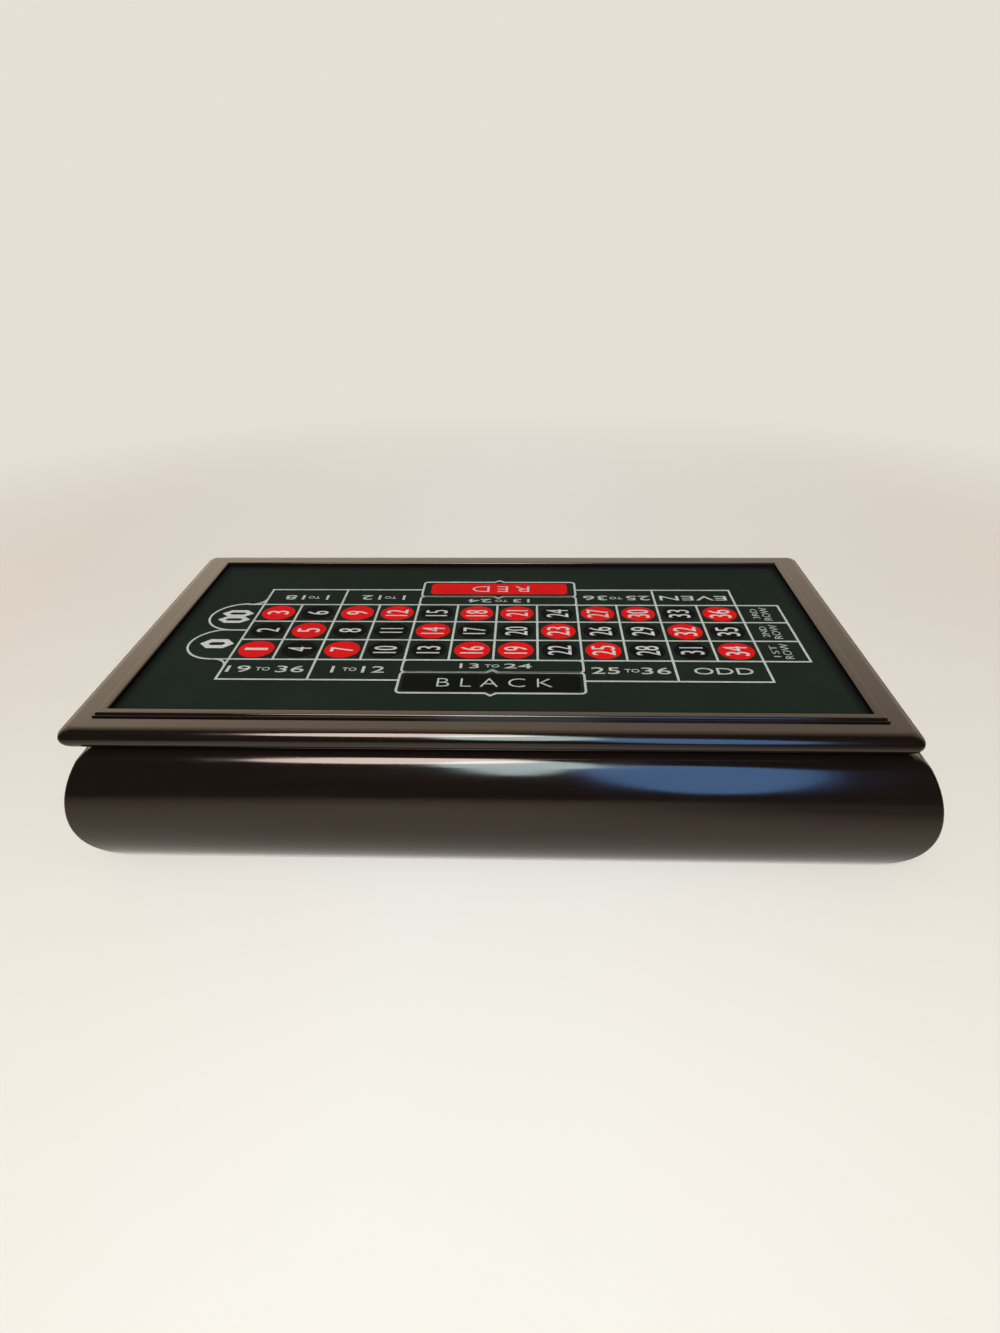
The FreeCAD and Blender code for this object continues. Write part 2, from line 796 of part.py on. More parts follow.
def rake():
    """Head, handle and ferrule of the rake, lying in the tray."""
    left, right = rake_span()
    line = rake_line()
    half = rake_head_depth / 2
    edge = rake_edge_thickness / 2
    points = [
        (left, -edge), (left + rake_head_height, -half), (left + rake_head_height, half), (left, edge)
    ]
    wire = Part.makePolygon(
        [Vector(x, line - rake_head_width / 2, rake_axis + z) for x, z in points + points[:1]]
    )
    head = Part.Face(wire).extrude(Vector(0, rake_head_width, 0))
    shoulder = left + rake_head_height
    handle = rod(rake_handle_radius, (shoulder - rake_tenon, line, rake_axis), (right, line, rake_axis))
    end = [edge for edge in handle.Edges if abs(edge.CenterOfMass.x - right) < 0.01]
    handle = handle.makeFillet(rake_handle_radius * 0.4, end)
    sleeve = rod(
        rake_handle_radius + ferrule_wall, (shoulder, line, rake_axis), (shoulder + ferrule_length, line, rake_axis)
    )
    return head.cut(handle), handle, sleeve.cut(handle)


# ---- Lid --------------------------------------------------------------------

def lid_tongues():
    """Loose tongues lying flat across the lid's mitres, under the board's ledge."""
    middle = (rim_height + ledge_level) / 2
    start = nose_radius + lid_tongue_margin
    end = rail_width - lid_tongue_margin
    half = lid_tongue_width / 2
    pieces = []
    for _, _, sx, sy in corners(1, 1):
        tongue = box(
            start * math.sqrt(2), end * math.sqrt(2), -half, half,
            middle - lid_tongue_thickness / 2, middle + lid_tongue_thickness / 2,
        )
        tongue.rotate(Vector(0, 0, 0), UP, math.degrees(math.atan2(-sy, -sx)))
        tongue.translate(Vector(lid_x + sx * lid_half_length, lid_y + sy * lid_half_width, 0))
        pieces.append(tongue)
    return pieces


def nosed_bar(half_span, half_run, along_x):
    """A bar whose two long edges are full rounds."""
    flat = half_span - nose_radius
    level = rim_height + nose_radius
    steps = [
        (0, rim_height), (flat, rim_height),
        ((half_span, level), (flat, lid_top)),
        (-flat, lid_top),
        ((-half_span, level), (-flat, rim_height)),
    ]
    if along_x:
        wire = closed_wire(steps, lambda across, height: Vector(-half_run, across, height))
        return Part.Face(wire).extrude(Vector(2 * half_run, 0, 0))
    wire = closed_wire(steps, lambda across, height: Vector(across, -half_run, height))
    return Part.Face(wire).extrude(Vector(0, 2 * half_run, 0))


def lid_form():
    """The lid frame's outer form, with its four mitre edges sanded round."""
    reach = 5.0
    form = nosed_bar(lid_half_width, lid_half_length + reach, True)
    form = form.common(nosed_bar(lid_half_length, lid_half_width + reach, False)).removeSplitter()
    limit = slab(lid_half_length, lid_half_width, rim_height, lid_top)
    limit = limit.makeFillet(lid_corner_round, mitre_edges(limit, lid_half_length, lid_half_width))
    form = form.common(limit)
    form.translate(Vector(lid_x, lid_y, 0))
    return form


def lid_rails(tongues, holes):
    """Four mitred rails with a rebate for the layout board."""
    form = lid_form()
    open_x, open_y = lid_half_length - rail_width, lid_half_width - rail_width
    form = form.cut(slab(open_x, open_y, rim_height - 1, lid_top + 1, lid_x, lid_y))
    step_x, step_y = lid_half_length - step_inset, lid_half_width - step_inset
    form = form.cut(slab(step_x, step_y, ledge_level, lid_top + 1, lid_x, lid_y))
    form = cut_all(form, tongues + holes)
    keepers = side_keepers(
        lid_half_length, lid_half_width, rail_width + 5, rim_height - 1, lid_top + 1, lid_x, lid_y
    )
    return {side: form.common(keeper) for side, keeper in keepers.items()}


def board_slab(z0, z1):
    inset = step_inset + board_clearance
    return slab(lid_half_length - inset, lid_half_width - inset, z0, z1, lid_x, lid_y)


def bead_strips():
    """Mitred bead strips that hold the edge of the felt down."""
    shoulder = lid_top + bead_step_rise
    crest = lid_top + bead_rise
    outer = bead_step_width + bead_round
    inner = bead_width - bead_round
    spring = crest - bead_round
    steps = [
        (0, felt_top), (0, shoulder), (bead_step_width, shoulder), (bead_step_width, spring),
        (quarter((outer, spring), bead_round, 135), (outer, crest)),
        (inner, crest),
        (quarter((inner, spring), bead_round, 45), (bead_width, spring)),
        (bead_width, felt_top),
    ]
    strips = {}
    keepers = side_keepers(
        lid_half_length - step_inset, lid_half_width - step_inset, bead_width + 5, felt_top - 1, crest + 1
    )
    for number, side in enumerate(("front", "right", "back", "left")):
        run, span = lid_half_length - step_inset, lid_half_width - step_inset
        if number % 2:
            run, span = span, run
        wire = closed_wire(steps, lambda across, height: Vector(-run, across - span, height))
        strip = Part.Face(wire).extrude(Vector(2 * run, 0, 0))
        strip.rotate(Vector(0, 0, 0), UP, 90 * number)
        strip = strip.common(keepers[side])
        strip.translate(Vector(lid_x, lid_y, 0))
        strips[side] = strip
    return strips


def batten_blanks():
    """Locating battens under the lid, inside the rails: the long ones run through."""
    out_x, out_y = lid_half_length - rail_width, lid_half_width - rail_width
    half = batten_thickness / 2
    blanks = {}
    for side, sign in (("front", -1), ("back", 1)):
        y = lid_y + sign * (out_y - half)
        blanks[side] = slab(out_x, half, batten_bottom, ledge_level, lid_x, y)
    for side, sign in (("left", -1), ("right", 1)):
        x = lid_x + sign * (out_x - half)
        blanks[side] = slab(half, out_y - batten_thickness, batten_bottom, ledge_level, x, lid_y)
    return blanks


def batten_screw_places():
    """Screws driven outwards through the battens into the rails."""
    level = (rim_height + ledge_level) / 2
    face_x = lid_half_length - rail_width - batten_thickness
    face_y = lid_half_width - rail_width - batten_thickness
    places = []
    for sign in (-1, 1):
        for x in (batten_screw_inset - face_x, 0, face_x - batten_screw_inset):
            places.append(((lid_x + x, lid_y + sign * face_y, level), (0, sign, 0)))
        for y in (batten_screw_inset - face_y, face_y - batten_screw_inset):
            places.append(((lid_x + sign * face_x, lid_y + y, level), (sign, 0, 0)))
    return places


def lid_lining():
    inset = rail_width + batten_thickness
    half_x, half_y = lid_half_length - inset, lid_half_width - inset
    return slab(half_x, half_y, ledge_level - lining_thickness, ledge_level, lid_x, lid_y)


# ---- Assembly ---------------------------------------------------------------

def write_base():
    tongues = base_tongues()
    for side, wall in base_walls(tongues).items():
        export("base_wall_" + side, [wall])
    export("base_mitre_tongues", tongues)
    bowl_pieces, bowl_holes = screws(bowl_screw_length, bowl_screw_places())
    export("bowl_screws", bowl_pieces)
    export("bottom_panel", [cut_all(bottom_panel(), bowl_holes)])
    liner = slab(inner_half_length, inner_half_width, panel_top, floor_top)
    export("floor_liner", [cut_all(liner, bowl_holes)])
    export("corner_blocks", corner_blocks())
    export("foot_pads", foot_pads())
    deck_pieces, deck_holes = screws(deck_screw_length, deck_screw_places())
    export("deck_screws", deck_pieces)
    export("deck_ledges", [cut_all(ledge, deck_holes) for ledge in deck_ledges()])
    export("deck_board", [cut_all(deck_board(), deck_holes)])
    bowl = wheel_bowl()
    export("wheel_bowl", [cut_all(bowl, bowl_holes)])
    export("ball_deflectors", ball_deflectors(bowl))
    export("spindle", [spindle()])
    export("thrust_washer", [thrust_washer()])


def write_rotor():
    pieces, holes = rotor_screws()
    export("rotor_screws", pieces)
    export("rotor_disc", [cut_all(ring(bushing_radius, rotor_radius, rotor_bottom, disc_top), holes)])
    export("number_ring", [number_ring()])
    export("pocket_floor", [ring(cone_radius, ring_radius, disc_top, pocket_floor_top)])
    export("pocket_frets", pocket_frets())
    export("rotor_cone", [cut_all(rotor_cone(), holes)])
    export("rotor_bushing", [ring(spindle_radius + spindle_clearance, bushing_radius, washer_top, bushing_top)])
    export("turret_base", [turret_base()])
    export("turret_arms", [turret_arms()])
    export("turret_finial", [turret_finial()])


def write_tray():
    export("chip_tray", [chip_tray()])
    colours = ("red", "blue", "green", "yellow", "white", "black")
    for colour, row in zip(colours, chip_rows()):
        export("chips_" + colour, row)
    export("balls", balls())
    for name, piece in zip(("rake_head", "rake_handle", "rake_ferrule"), rake()):
        export(name, [piece])


def write_lid():
    tongues = lid_tongues()
    pieces, holes = screws(batten_screw_length, batten_screw_places())
    export("batten_screws", pieces)
    export("lid_mitre_tongues", tongues)
    for side, rail in lid_rails(tongues, holes).items():
        export("lid_rail_" + side, [rail])
    export("layout_board", [board_slab(ledge_level, board_top)])
    export("layout_felt", [board_slab(board_top, felt_top)])
    for side, strip in bead_strips().items():
        export("bead_strip_" + side, [strip])
    for side, batten in batten_blanks().items():
        export("batten_" + side, [cut_all(batten, holes)])
    export("lid_lining", [lid_lining()])


write_base()
write_rotor()
write_tray()
write_lid()
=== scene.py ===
# %% [markdown]
# # A roulette set case
# This lesson dresses a packed construction model as a lacquered wooden case. The case is a bulged,
# mitred box. Its loose lid is a rounded frame round a felt layout, and the set lies inside.
# The construction model gives every place and size, so nothing here is fitted by eye.

import json
import math

import bpy
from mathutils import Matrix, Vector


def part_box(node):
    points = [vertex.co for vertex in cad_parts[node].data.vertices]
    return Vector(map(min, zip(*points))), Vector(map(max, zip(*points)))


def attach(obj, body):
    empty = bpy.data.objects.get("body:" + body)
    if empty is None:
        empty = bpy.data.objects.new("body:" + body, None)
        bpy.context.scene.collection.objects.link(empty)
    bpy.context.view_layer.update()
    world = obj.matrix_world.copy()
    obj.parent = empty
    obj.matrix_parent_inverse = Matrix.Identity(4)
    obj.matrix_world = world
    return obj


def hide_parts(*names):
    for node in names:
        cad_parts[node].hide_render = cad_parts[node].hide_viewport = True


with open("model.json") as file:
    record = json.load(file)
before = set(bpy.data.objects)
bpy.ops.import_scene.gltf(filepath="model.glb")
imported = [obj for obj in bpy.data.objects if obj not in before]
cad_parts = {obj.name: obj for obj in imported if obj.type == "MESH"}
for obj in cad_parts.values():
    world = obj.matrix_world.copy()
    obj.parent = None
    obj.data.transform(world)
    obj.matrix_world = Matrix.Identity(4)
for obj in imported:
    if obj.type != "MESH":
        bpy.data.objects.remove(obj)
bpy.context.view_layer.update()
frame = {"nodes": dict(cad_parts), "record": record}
print("pieces in the construction model:", len(frame["nodes"]))

# %% [markdown]
# Blender works in metres and a cabinet maker in millimetres. All sizes below are written in
# millimetres and turned into metres by one factor.

# %% Sizes
MM = 0.001
base_half = (235.5, 136.5)       # outline at the belly
belly_height = 40.5
sole_height, sole_inset = 1.5, 19.0
rim_height, shoulder_top = 80.0, 78.0
shoulder_inset, shoulder_round = 12.5, 11.4
lip_setback = 1.0
wall_thickness = 26.0
groove_levels = (13.0, 8.0)
groove_depth = 6.0
mitre_round = 1.6
lid_half = (227.5, 128.5)
lid_centre = (-6.4, 2.5)
lid_bottom, lid_top = 80.0, 92.0
nose_round, lid_corner_round = 6.0, 4.0
step_inset, rail_width = 15.0, 25.0
ledge_level = 86.0
felt_top = 91.0
felt_half = (212.2, 113.2)
wheel_x = -104.0
print("lid stands", lid_top - lid_bottom, "mm thick over a rim at", rim_height, "mm")

# %% [markdown]
# Operators act on whatever is selected, so each piece starts from a clean selection. These small
# helpers hold one piece, open it in edit mode, and select its faces or edges by where they are.


# %% Helpers for modelling
def clear_selection():
    if bpy.context.object and bpy.context.object.mode != "OBJECT":
        bpy.ops.object.mode_set(mode="OBJECT")
    bpy.ops.object.select_all(action="DESELECT")


def hold(piece):
    """Makes one piece the only selected and the active one."""
    clear_selection()
    piece.select_set(True)
    bpy.context.view_layer.objects.active = piece


def settle(piece):
    """Puts a piece's place, turn and scale into its mesh."""
    hold(piece)
    bpy.ops.object.transform_apply(location=True, rotation=True, scale=True)


def start(title, primitive, scale=(1, 1, 1), place=(0, 0, 0), **settings):
    """Adds a primitive at its size and place, both in millimetres."""
    clear_selection()
    primitive(location=[value * MM for value in place], **settings)
    piece = bpy.context.object
    piece.name = piece.data.name = title
    piece.scale = [value * MM for value in scale]
    settle(piece)
    return piece


def enter(piece, kind="VERT"):
    hold(piece)
    bpy.ops.object.mode_set(mode="EDIT")
    bpy.ops.mesh.select_mode(type=kind)
    bpy.ops.mesh.select_all(action="SELECT")


def pick_faces(piece, test):
    """In edit mode, selects only the faces whose centre and normal pass the test."""
    bpy.ops.mesh.select_mode(type="FACE")
    bpy.ops.mesh.select_all(action="DESELECT")
    bpy.ops.object.mode_set(mode="OBJECT")
    for face in piece.data.polygons:
        face.select = test(face.center / MM, face.normal)
    bpy.ops.object.mode_set(mode="EDIT")


def pick_edges(piece, test):
    """In edit mode, selects only the edges whose two ends pass the test."""
    bpy.ops.mesh.select_mode(type="EDGE")
    bpy.ops.mesh.select_all(action="DESELECT")
    bpy.ops.object.mode_set(mode="OBJECT")
    spots = piece.data.vertices
    for edge in piece.data.edges:
        ends = [spots[number] for number in edge.vertices]
        edge.select = test(ends[0].co / MM, ends[1].co / MM)
        if edge.select:
            ends[0].select = ends[1].select = True
    bpy.ops.object.mode_set(mode="EDIT")


def pick_corners(piece, test):
    """In edit mode, selects only the corner points that pass the test."""
    bpy.ops.mesh.select_mode(type="VERT")
    bpy.ops.mesh.select_all(action="DESELECT")
    bpy.ops.object.mode_set(mode="OBJECT")
    for spot in piece.data.vertices:
        spot.select = test(spot.co / MM)
    bpy.ops.object.mode_set(mode="EDIT")


def close_up(piece):
    """Merges doubles and turns all faces outwards, then leaves edit mode."""
    bpy.ops.mesh.select_all(action="SELECT")
    bpy.ops.mesh.remove_doubles(threshold=0.000002)
    bpy.ops.mesh.normals_make_consistent(inside=False)
    bpy.ops.object.mode_set(mode="OBJECT")


def shade(piece, degrees=32):
    """Smooth curves, crisp arrises, and flats that stay flat."""
    hold(piece)
    bpy.ops.object.shade_smooth_by_angle(angle=math.radians(degrees))
    even = piece.modifiers.new("even_shading", "WEIGHTED_NORMAL")
    even.keep_sharp = True
    bpy.ops.object.modifier_apply(modifier=even.name)


def copy_of(piece, title):
    hold(piece)
    bpy.ops.object.duplicate()
    twin = bpy.context.object
    twin.name = twin.data.name = title
    return twin


def joined(pieces, title):
    hold(pieces[0])
    for piece in pieces:
        piece.select_set(True)
    bpy.ops.object.join()
    whole = bpy.context.object
    whole.name = whole.data.name = title
    return whole


def discard(piece):
    bpy.data.objects.remove(piece, do_unlink=True)


print("helpers ready")

# %% [markdown]
# ## The camera
# The camera comes first, so that each step can be looked at. It stands above and in front of the
# case, as a person does who looks down at a table.

# %% Camera
camera_place = (16.7, -488.4, 328.0)
camera_tilt, camera_roll, camera_turn = 58.735, 0.759, 2.031
clear_selection()
bpy.ops.object.camera_add(
    location=[value * MM for value in camera_place],
    rotation=[math.radians(value) for value in (camera_tilt, camera_roll, camera_turn)],
)
camera = bpy.context.object
camera.name = "camera"
camera.data.lens = 22.645
camera.data.sensor_width = 36.0
camera.data.shift_x, camera.data.shift_y = 0.0026, 0.0323
camera.data.clip_start = 0.01
bpy.context.scene.camera = camera
print("camera lens", round(camera.data.lens, 2), "mm")

# %% [markdown]
# ## Finishes
# Every finish is a small network of nodes on the piece's own coordinates. One helper adds a node
# with its inputs, so that a finish reads like a recipe.


# %% Helpers for finishes
def blank_finish(title):
    finish = bpy.data.materials.new(title)
    finish.use_nodes = True
    return finish, finish.node_tree, finish.node_tree.nodes["Principled BSDF"]


def add(tree, kind, inputs=None, **settings):
    """A shader node with its settings; an input is a value or another node's output."""
    made = tree.nodes.new("ShaderNode" + kind)
    for name, value in settings.items():
        setattr(made, name, value)
    for name, value in (inputs or {}).items():
        if isinstance(value, bpy.types.NodeSocket):
            tree.links.new(value, made.inputs[name])
        else:
            made.inputs[name].default_value = value
    return made


def stretched_place(tree, scale, turn=(0, 0, 0), place=(0, 0, 0)):
    spot = add(tree, "TexCoord").outputs["Object"]
    inputs = {"Vector": spot, "Scale": scale, "Rotation": turn, "Location": place}
    return add(tree, "Mapping", inputs).outputs["Vector"]


def noise(tree, place, scale, detail=4.0, rough=0.55):
    inputs = {"Vector": place, "Scale": scale, "Detail": detail, "Roughness": rough}
    return add(tree, "TexNoise", inputs).outputs["Fac"]


def blend(tree, amount, dark, light):
    """A colour between two, by an amount from 0 to 1."""
    inputs = {"Factor": amount, "A": (*dark, 1.0), "B": (*light, 1.0)}
    mix = tree.nodes.new("ShaderNodeMix")
    mix.data_type = "RGBA"
    for name, socket in (("Factor", mix.inputs[0]), ("A", mix.inputs[6]), ("B", mix.inputs[7])):
        value = inputs[name]
        if isinstance(value, bpy.types.NodeSocket):
            tree.links.new(value, socket)
        else:
            socket.default_value = value
    return mix.outputs[2]


def over(tree, amount, under, colour):
    """Lays a colour over another node's colour where amount is 1."""
    mix = tree.nodes.new("ShaderNodeMix")
    mix.data_type = "RGBA"
    tree.links.new(amount, mix.inputs[0])
    tree.links.new(under, mix.inputs[6])
    mix.inputs[7].default_value = (*colour, 1.0)
    return mix.outputs[2]


def spread(tree, value, low, high, to_low=0.0, to_high=1.0):
    """Stretches the part of a value between low and high over a new range."""
    inputs = {"Value": value, "From Min": low, "From Max": high, "To Min": to_low, "To Max": to_high}
    return add(tree, "MapRange", inputs).outputs["Result"]


def sum_of(tree, first, second, operation="ADD"):
    made = add(tree, "Math", operation=operation)
    for socket, value in zip(made.inputs, (first, second)):
        if isinstance(value, bpy.types.NodeSocket):
            tree.links.new(value, socket)
        else:
            socket.default_value = value
    return made.outputs[0]


def dress(tree, shader, colour=None, rough=None, height=None, relief=0.2, depth=0.0002):
    """Connects colour, roughness and height to the shader."""
    if colour is not None:
        tree.links.new(colour, shader.inputs["Base Color"])
    if rough is not None:
        tree.links.new(rough, shader.inputs["Roughness"])
    if height is not None:
        inputs = {"Height": height, "Strength": relief, "Distance": depth}
        tree.links.new(add(tree, "Bump", inputs).outputs["Normal"], shader.inputs["Normal"])


print("finish helpers ready")

# %% [markdown]
# The case is stained almost black and sprayed with a semi-gloss lacquer. The grain hardly shows,
# so it is a slight change of brown along the rail. The gloss is a little uneven, the film has a
# faint orange-peel ripple, and a few specks of dust and chips of bare lacquer catch the light.


# %% Lacquers
def grain(tree, along, length=3.0, across=70.0):
    """Long streaks that run along one axis of the piece."""
    scale = [across, across, across]
    scale["XYZ".index(along)] = length
    place = stretched_place(tree, scale)
    wide = noise(tree, place, 1.0, 6.0, 0.6)
    fine = noise(tree, place, 5.0, 3.0, 0.5)
    return sum_of(tree, sum_of(tree, wide, 0.7, "MULTIPLY"), sum_of(tree, fine, 0.3, "MULTIPLY"))


def specks(tree, scale=90.0, size=0.035, share=0.93):
    """Small spots, few and far between."""
    place = stretched_place(tree, (1, 1, 1))
    cells = add(tree, "TexVoronoi", {"Vector": place, "Scale": scale})
    near = add(tree, "Math", operation="LESS_THAN")
    tree.links.new(cells.outputs["Distance"], near.inputs[0])
    near.inputs[1].default_value = size
    lucky = add(tree, "SeparateColor", {"Color": cells.outputs["Color"]}).outputs["Red"]
    chosen = sum_of(tree, lucky, share, "GREATER_THAN")
    return sum_of(tree, near.outputs[0], chosen, "MULTIPLY")


def lacquer(title, along, dark, light, rough=(0.10, 0.145), dusty=True):
    finish, tree, shader = blank_finish(title)
    streaks = spread(tree, grain(tree, along), 0.3, 0.7)
    colour = blend(tree, streaks, dark, light)
    if dusty:
        colour = over(tree, specks(tree), colour, (0.32, 0.28, 0.24))
    clouds = noise(tree, stretched_place(tree, (1, 1, 1)), 28.0, 3.0)
    ripple = noise(tree, stretched_place(tree, (1, 1, 1)), 420.0, 2.0)
    height = sum_of(tree, sum_of(tree, ripple, 0.6, "MULTIPLY"), sum_of(tree, streaks, 0.4, "MULTIPLY"))
    dress(tree, shader, colour, spread(tree, clouds, 0.3, 0.7, *rough), height, 0.06, 0.0002)
    shader.inputs["IOR"].default_value = 1.55
    shader.inputs["Specular Tint"].default_value = (1.0, 0.84, 0.70, 1.0)
    return finish


espresso = {
    "X": lacquer("espresso_lacquer_long", "X", (0.0040, 0.0024, 0.0018), (0.0080, 0.0048, 0.0034)),
    "Y": lacquer("espresso_lacquer_short", "Y", (0.0040, 0.0024, 0.0018), (0.0080, 0.0048, 0.0034)),
}
print("lacquers:", [finish.name for finish in espresso.values()])

# %% [markdown]
# ## The base's walls
# The real walls are four mitred boards with a bulged face, a rounded shoulder and a flat lip for
# the lid. A loop of boards is quickest as one ring: a flat plane is extruded upwards and scaled at
# every level, over the top and down the inside. It is then cut along its mitres into four boards.


# %% Rings and mitres
SIDES = {"front": (0, -1), "right": (1, 0), "back": (0, 1), "left": (-1, 0)}


def bend(centre, radius, begin, end, steps):
    """Levels along an arc: (inset, height) from one angle to another, in degrees."""
    levels = []
    for step in range(1, steps + 1):
        turn = math.radians(begin + (end - begin) * step / steps)
        levels.append((centre[0] - radius * math.cos(turn), centre[1] + radius * math.sin(turn)))
    return levels


def raised_ring(title, half, levels):
    """A rectangular ring made by extruding and scaling a plane through its levels."""
    inset, height = levels[0]
    size = (half[0] - inset, half[1] - inset, 1)
    ring = start(title, bpy.ops.mesh.primitive_plane_add, size, (0, 0, height), size=2)
    enter(ring, "FACE")
    for next_inset, next_height in levels[1:]:
        lift = (0, 0, (next_height - height) * MM)
        bpy.ops.mesh.extrude_region_move(TRANSFORM_OT_translate={"value": lift})
        factors = [(side - next_inset) / (side - inset) for side in half]
        bpy.ops.transform.resize(value=(*factors, 1), center_override=(0, 0, 0))
        inset, height = next_inset, next_height
    bpy.ops.mesh.delete(type="ONLY_FACE")
    pick_faces(ring, lambda centre, normal: abs(centre.x) < 1 and abs(centre.y) < 1)
    bpy.ops.mesh.delete(type="ONLY_FACE")
    bridge_open_edges()
    close_up(ring)
    return ring


def bridge_open_edges():
    bpy.ops.mesh.select_mode(type="EDGE")
    bpy.ops.mesh.select_all(action="DESELECT")
    bpy.ops.mesh.select_non_manifold()
    bpy.ops.mesh.bridge_edge_loops()


def mitred(ring, prefix, half, centre=(0.0, 0.0)):
    """Cuts four boards out of copies of a ring, each along its two mitres."""
    boards = {}
    for side, (out_x, out_y) in SIDES.items():
        board = copy_of(ring, prefix + side)
        enter(board)
        for end in (-1, 1):
            along_x, along_y = -out_y * end, out_x * end
            corner = (
                (centre[0] + (out_x + along_x) * half[0]) * MM,
                (centre[1] + (out_y + along_y) * half[1]) * MM,
                0,
            )
            bpy.ops.mesh.select_all(action="SELECT")
            bpy.ops.mesh.bisect(
                plane_co=corner, plane_no=(along_x - out_x, along_y - out_y, 0),
                use_fill=True, clear_outer=True, threshold=0.000001,
            )
        close_up(board)
        shade(board)
        boards[side] = board
    discard(ring)
    return boards


print("a ring is cut into", len(SIDES), "boards")

# %% [markdown]
# The outer face is two long arcs that meet upright at the belly, and a tighter one for the
# shoulder. The upright corners are sanded round, which the bevel does before the ring is cut.

# %% Walls
low_radius = ((belly_height - sole_height) ** 2 + sole_inset ** 2) / (2 * sole_inset)
high_rise = shoulder_top - belly_height
high_radius = (high_rise ** 2 + shoulder_inset ** 2) / (2 * shoulder_inset)
low_turn = math.degrees(math.asin((belly_height - sole_height) / low_radius))
meeting = math.degrees(math.asin((high_rise - shoulder_round) / (high_radius - shoulder_round)))
round_centre = (
    high_radius - (high_radius - shoulder_round) * math.cos(math.radians(meeting)),
    shoulder_top - shoulder_round,
)
lip = round_centre[0] + lip_setback
wall_levels = [(sole_inset, sole_height)]
wall_levels += bend((low_radius, belly_height), low_radius, -low_turn, 0, 12)
wall_levels += bend((high_radius, belly_height), high_radius, 0, meeting, 10)
wall_levels += bend(round_centre, shoulder_round, meeting, 90, 12)
wall_levels += [(lip, shoulder_top), (lip, rim_height), (wall_thickness, rim_height)]
wall_levels += [(wall_thickness, groove_levels[0]), (wall_thickness - groove_depth, groove_levels[0])]
wall_levels += [(wall_thickness - groove_depth, groove_levels[1]), (wall_thickness, groove_levels[1])]
wall_levels += [(wall_thickness, sole_height)]
wall_ring = raised_ring("wall_ring", base_half, wall_levels)


def along_mitre(half, deepest):
    """A test for edges that climb along an outer corner of a ring, down to the deepest inset."""
    def test(first, second):
        for spot in (first, second):
            across = half[0] - abs(spot.x)
            if abs(across - (half[1] - abs(spot.y))) > 0.01 or across > deepest:
                return False
        return abs(first.z - second.z) > 0.02
    return test


enter(wall_ring, "EDGE")
pick_edges(wall_ring, along_mitre(base_half, round_centre[0] + 0.01))
bpy.ops.mesh.bevel(offset=mitre_round * MM, segments=3, affect="EDGES")
close_up(wall_ring)
walls = mitred(wall_ring, "wall_", base_half)
print("wall faces:", {side: len(wall.data.polygons) for side, wall in walls.items()})

# %% [markdown]
# ## The lid's frame
# The lid is a ring too, whose outer edge is a full round. The bevel sands its mitres round as well,
# where they run over the nose.

# %% Lid rails
middle_height = (lid_bottom + lid_top) / 2
lid_levels = [(nose_round, lid_bottom)]
lid_levels += bend((nose_round, middle_height), nose_round, -90, 90, 20)
lid_levels += [(step_inset, lid_top), (step_inset, ledge_level), (rail_width, ledge_level)]
lid_levels += [(rail_width, lid_bottom)]
lid_ring = raised_ring("lid_ring", lid_half, lid_levels)
enter(lid_ring, "EDGE")
pick_edges(lid_ring, along_mitre(lid_half, nose_round - 0.05))
bpy.ops.mesh.bevel(offset=lid_corner_round * MM, segments=5, affect="EDGES")
close_up(lid_ring)
lid_ring.location = (lid_centre[0] * MM, lid_centre[1] * MM, 0)
settle(lid_ring)
rails = mitred(lid_ring, "rail_", lid_half, lid_centre)
print("rail faces:", {side: len(rail.data.polygons) for side, rail in rails.items()})

# %% [markdown]
# ## The bead strips
# A small moulding covers the felt's edge: a low step outside, then a bead with two rounded arrises.

# %% Bead strips
bead_step, bead_round, bead_width = (1.2, 1.0), 1.0, 6.3
bead_crest = 94.1
bead_spring, inner_round = bead_crest - bead_round, 0.9
bead_in = step_inset + bead_step[0]
bead_out = step_inset + bead_width
bead_levels = [(step_inset, felt_top), (step_inset, lid_top + bead_step[1]), (bead_in, lid_top + bead_step[1])]
bead_levels += [(bead_in, bead_spring)]
bead_levels += bend((bead_in + bead_round, bead_spring), bead_round, 0, 90, 6)
bead_levels += bend((bead_out - inner_round, bead_crest - inner_round), inner_round, 90, 180, 8)
bead_levels += [(bead_out, felt_top)]
bead_ring = raised_ring("bead_ring", lid_half, bead_levels)
bead_ring.location = (lid_centre[0] * MM, lid_centre[1] * MM, 0)
settle(bead_ring)
bead_half = (lid_half[0] - step_inset, lid_half[1] - step_inset)
beads = mitred(bead_ring, "bead_", bead_half, lid_centre)
print("bead crest at", bead_crest, "mm")

# %% Put the boards in place of the plain ones
for side in SIDES:
    along = "X" if side in ("front", "back") else "Y"
    for piece, node, body in (
        (walls[side], "base_wall_", "base"), (rails[side], "lid_rail_", "lid"), (beads[side], "bead_strip_", "lid"),
    ):
        piece.data.materials.append(espresso[along])
        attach(piece, body)
        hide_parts(node + side)
print("boards dressed:", 3 * len(SIDES))

# %% [markdown]
# ## The felt
# The layout is printed on felt that is glued flat to a board and caught under the bead. It is a
# grid with a little thickness. The nap is fine noise, with faint darker and lighter patches where
# it has been brushed, and a few bits of lint. A dark rim beside the bead is painted shade.


# %% Felt
def shaded_rim(tree, place):
    """One beside the bead, fading to nothing further in: a dark rim of painted shade."""
    spots = add(tree, "SeparateXYZ", {"Vector": place}).outputs
    gaps = []
    for axis, centre, half in zip("XY", lid_centre, lid_half):
        off = sum_of(tree, sum_of(tree, spots[axis], centre * MM, "SUBTRACT"), 0.0, "ABSOLUTE")
        gaps.append(sum_of(tree, (half - bead_out) * MM, off, "SUBTRACT"))
    return spread(tree, sum_of(tree, *gaps, "MINIMUM"), 0.0064, 0.0006)


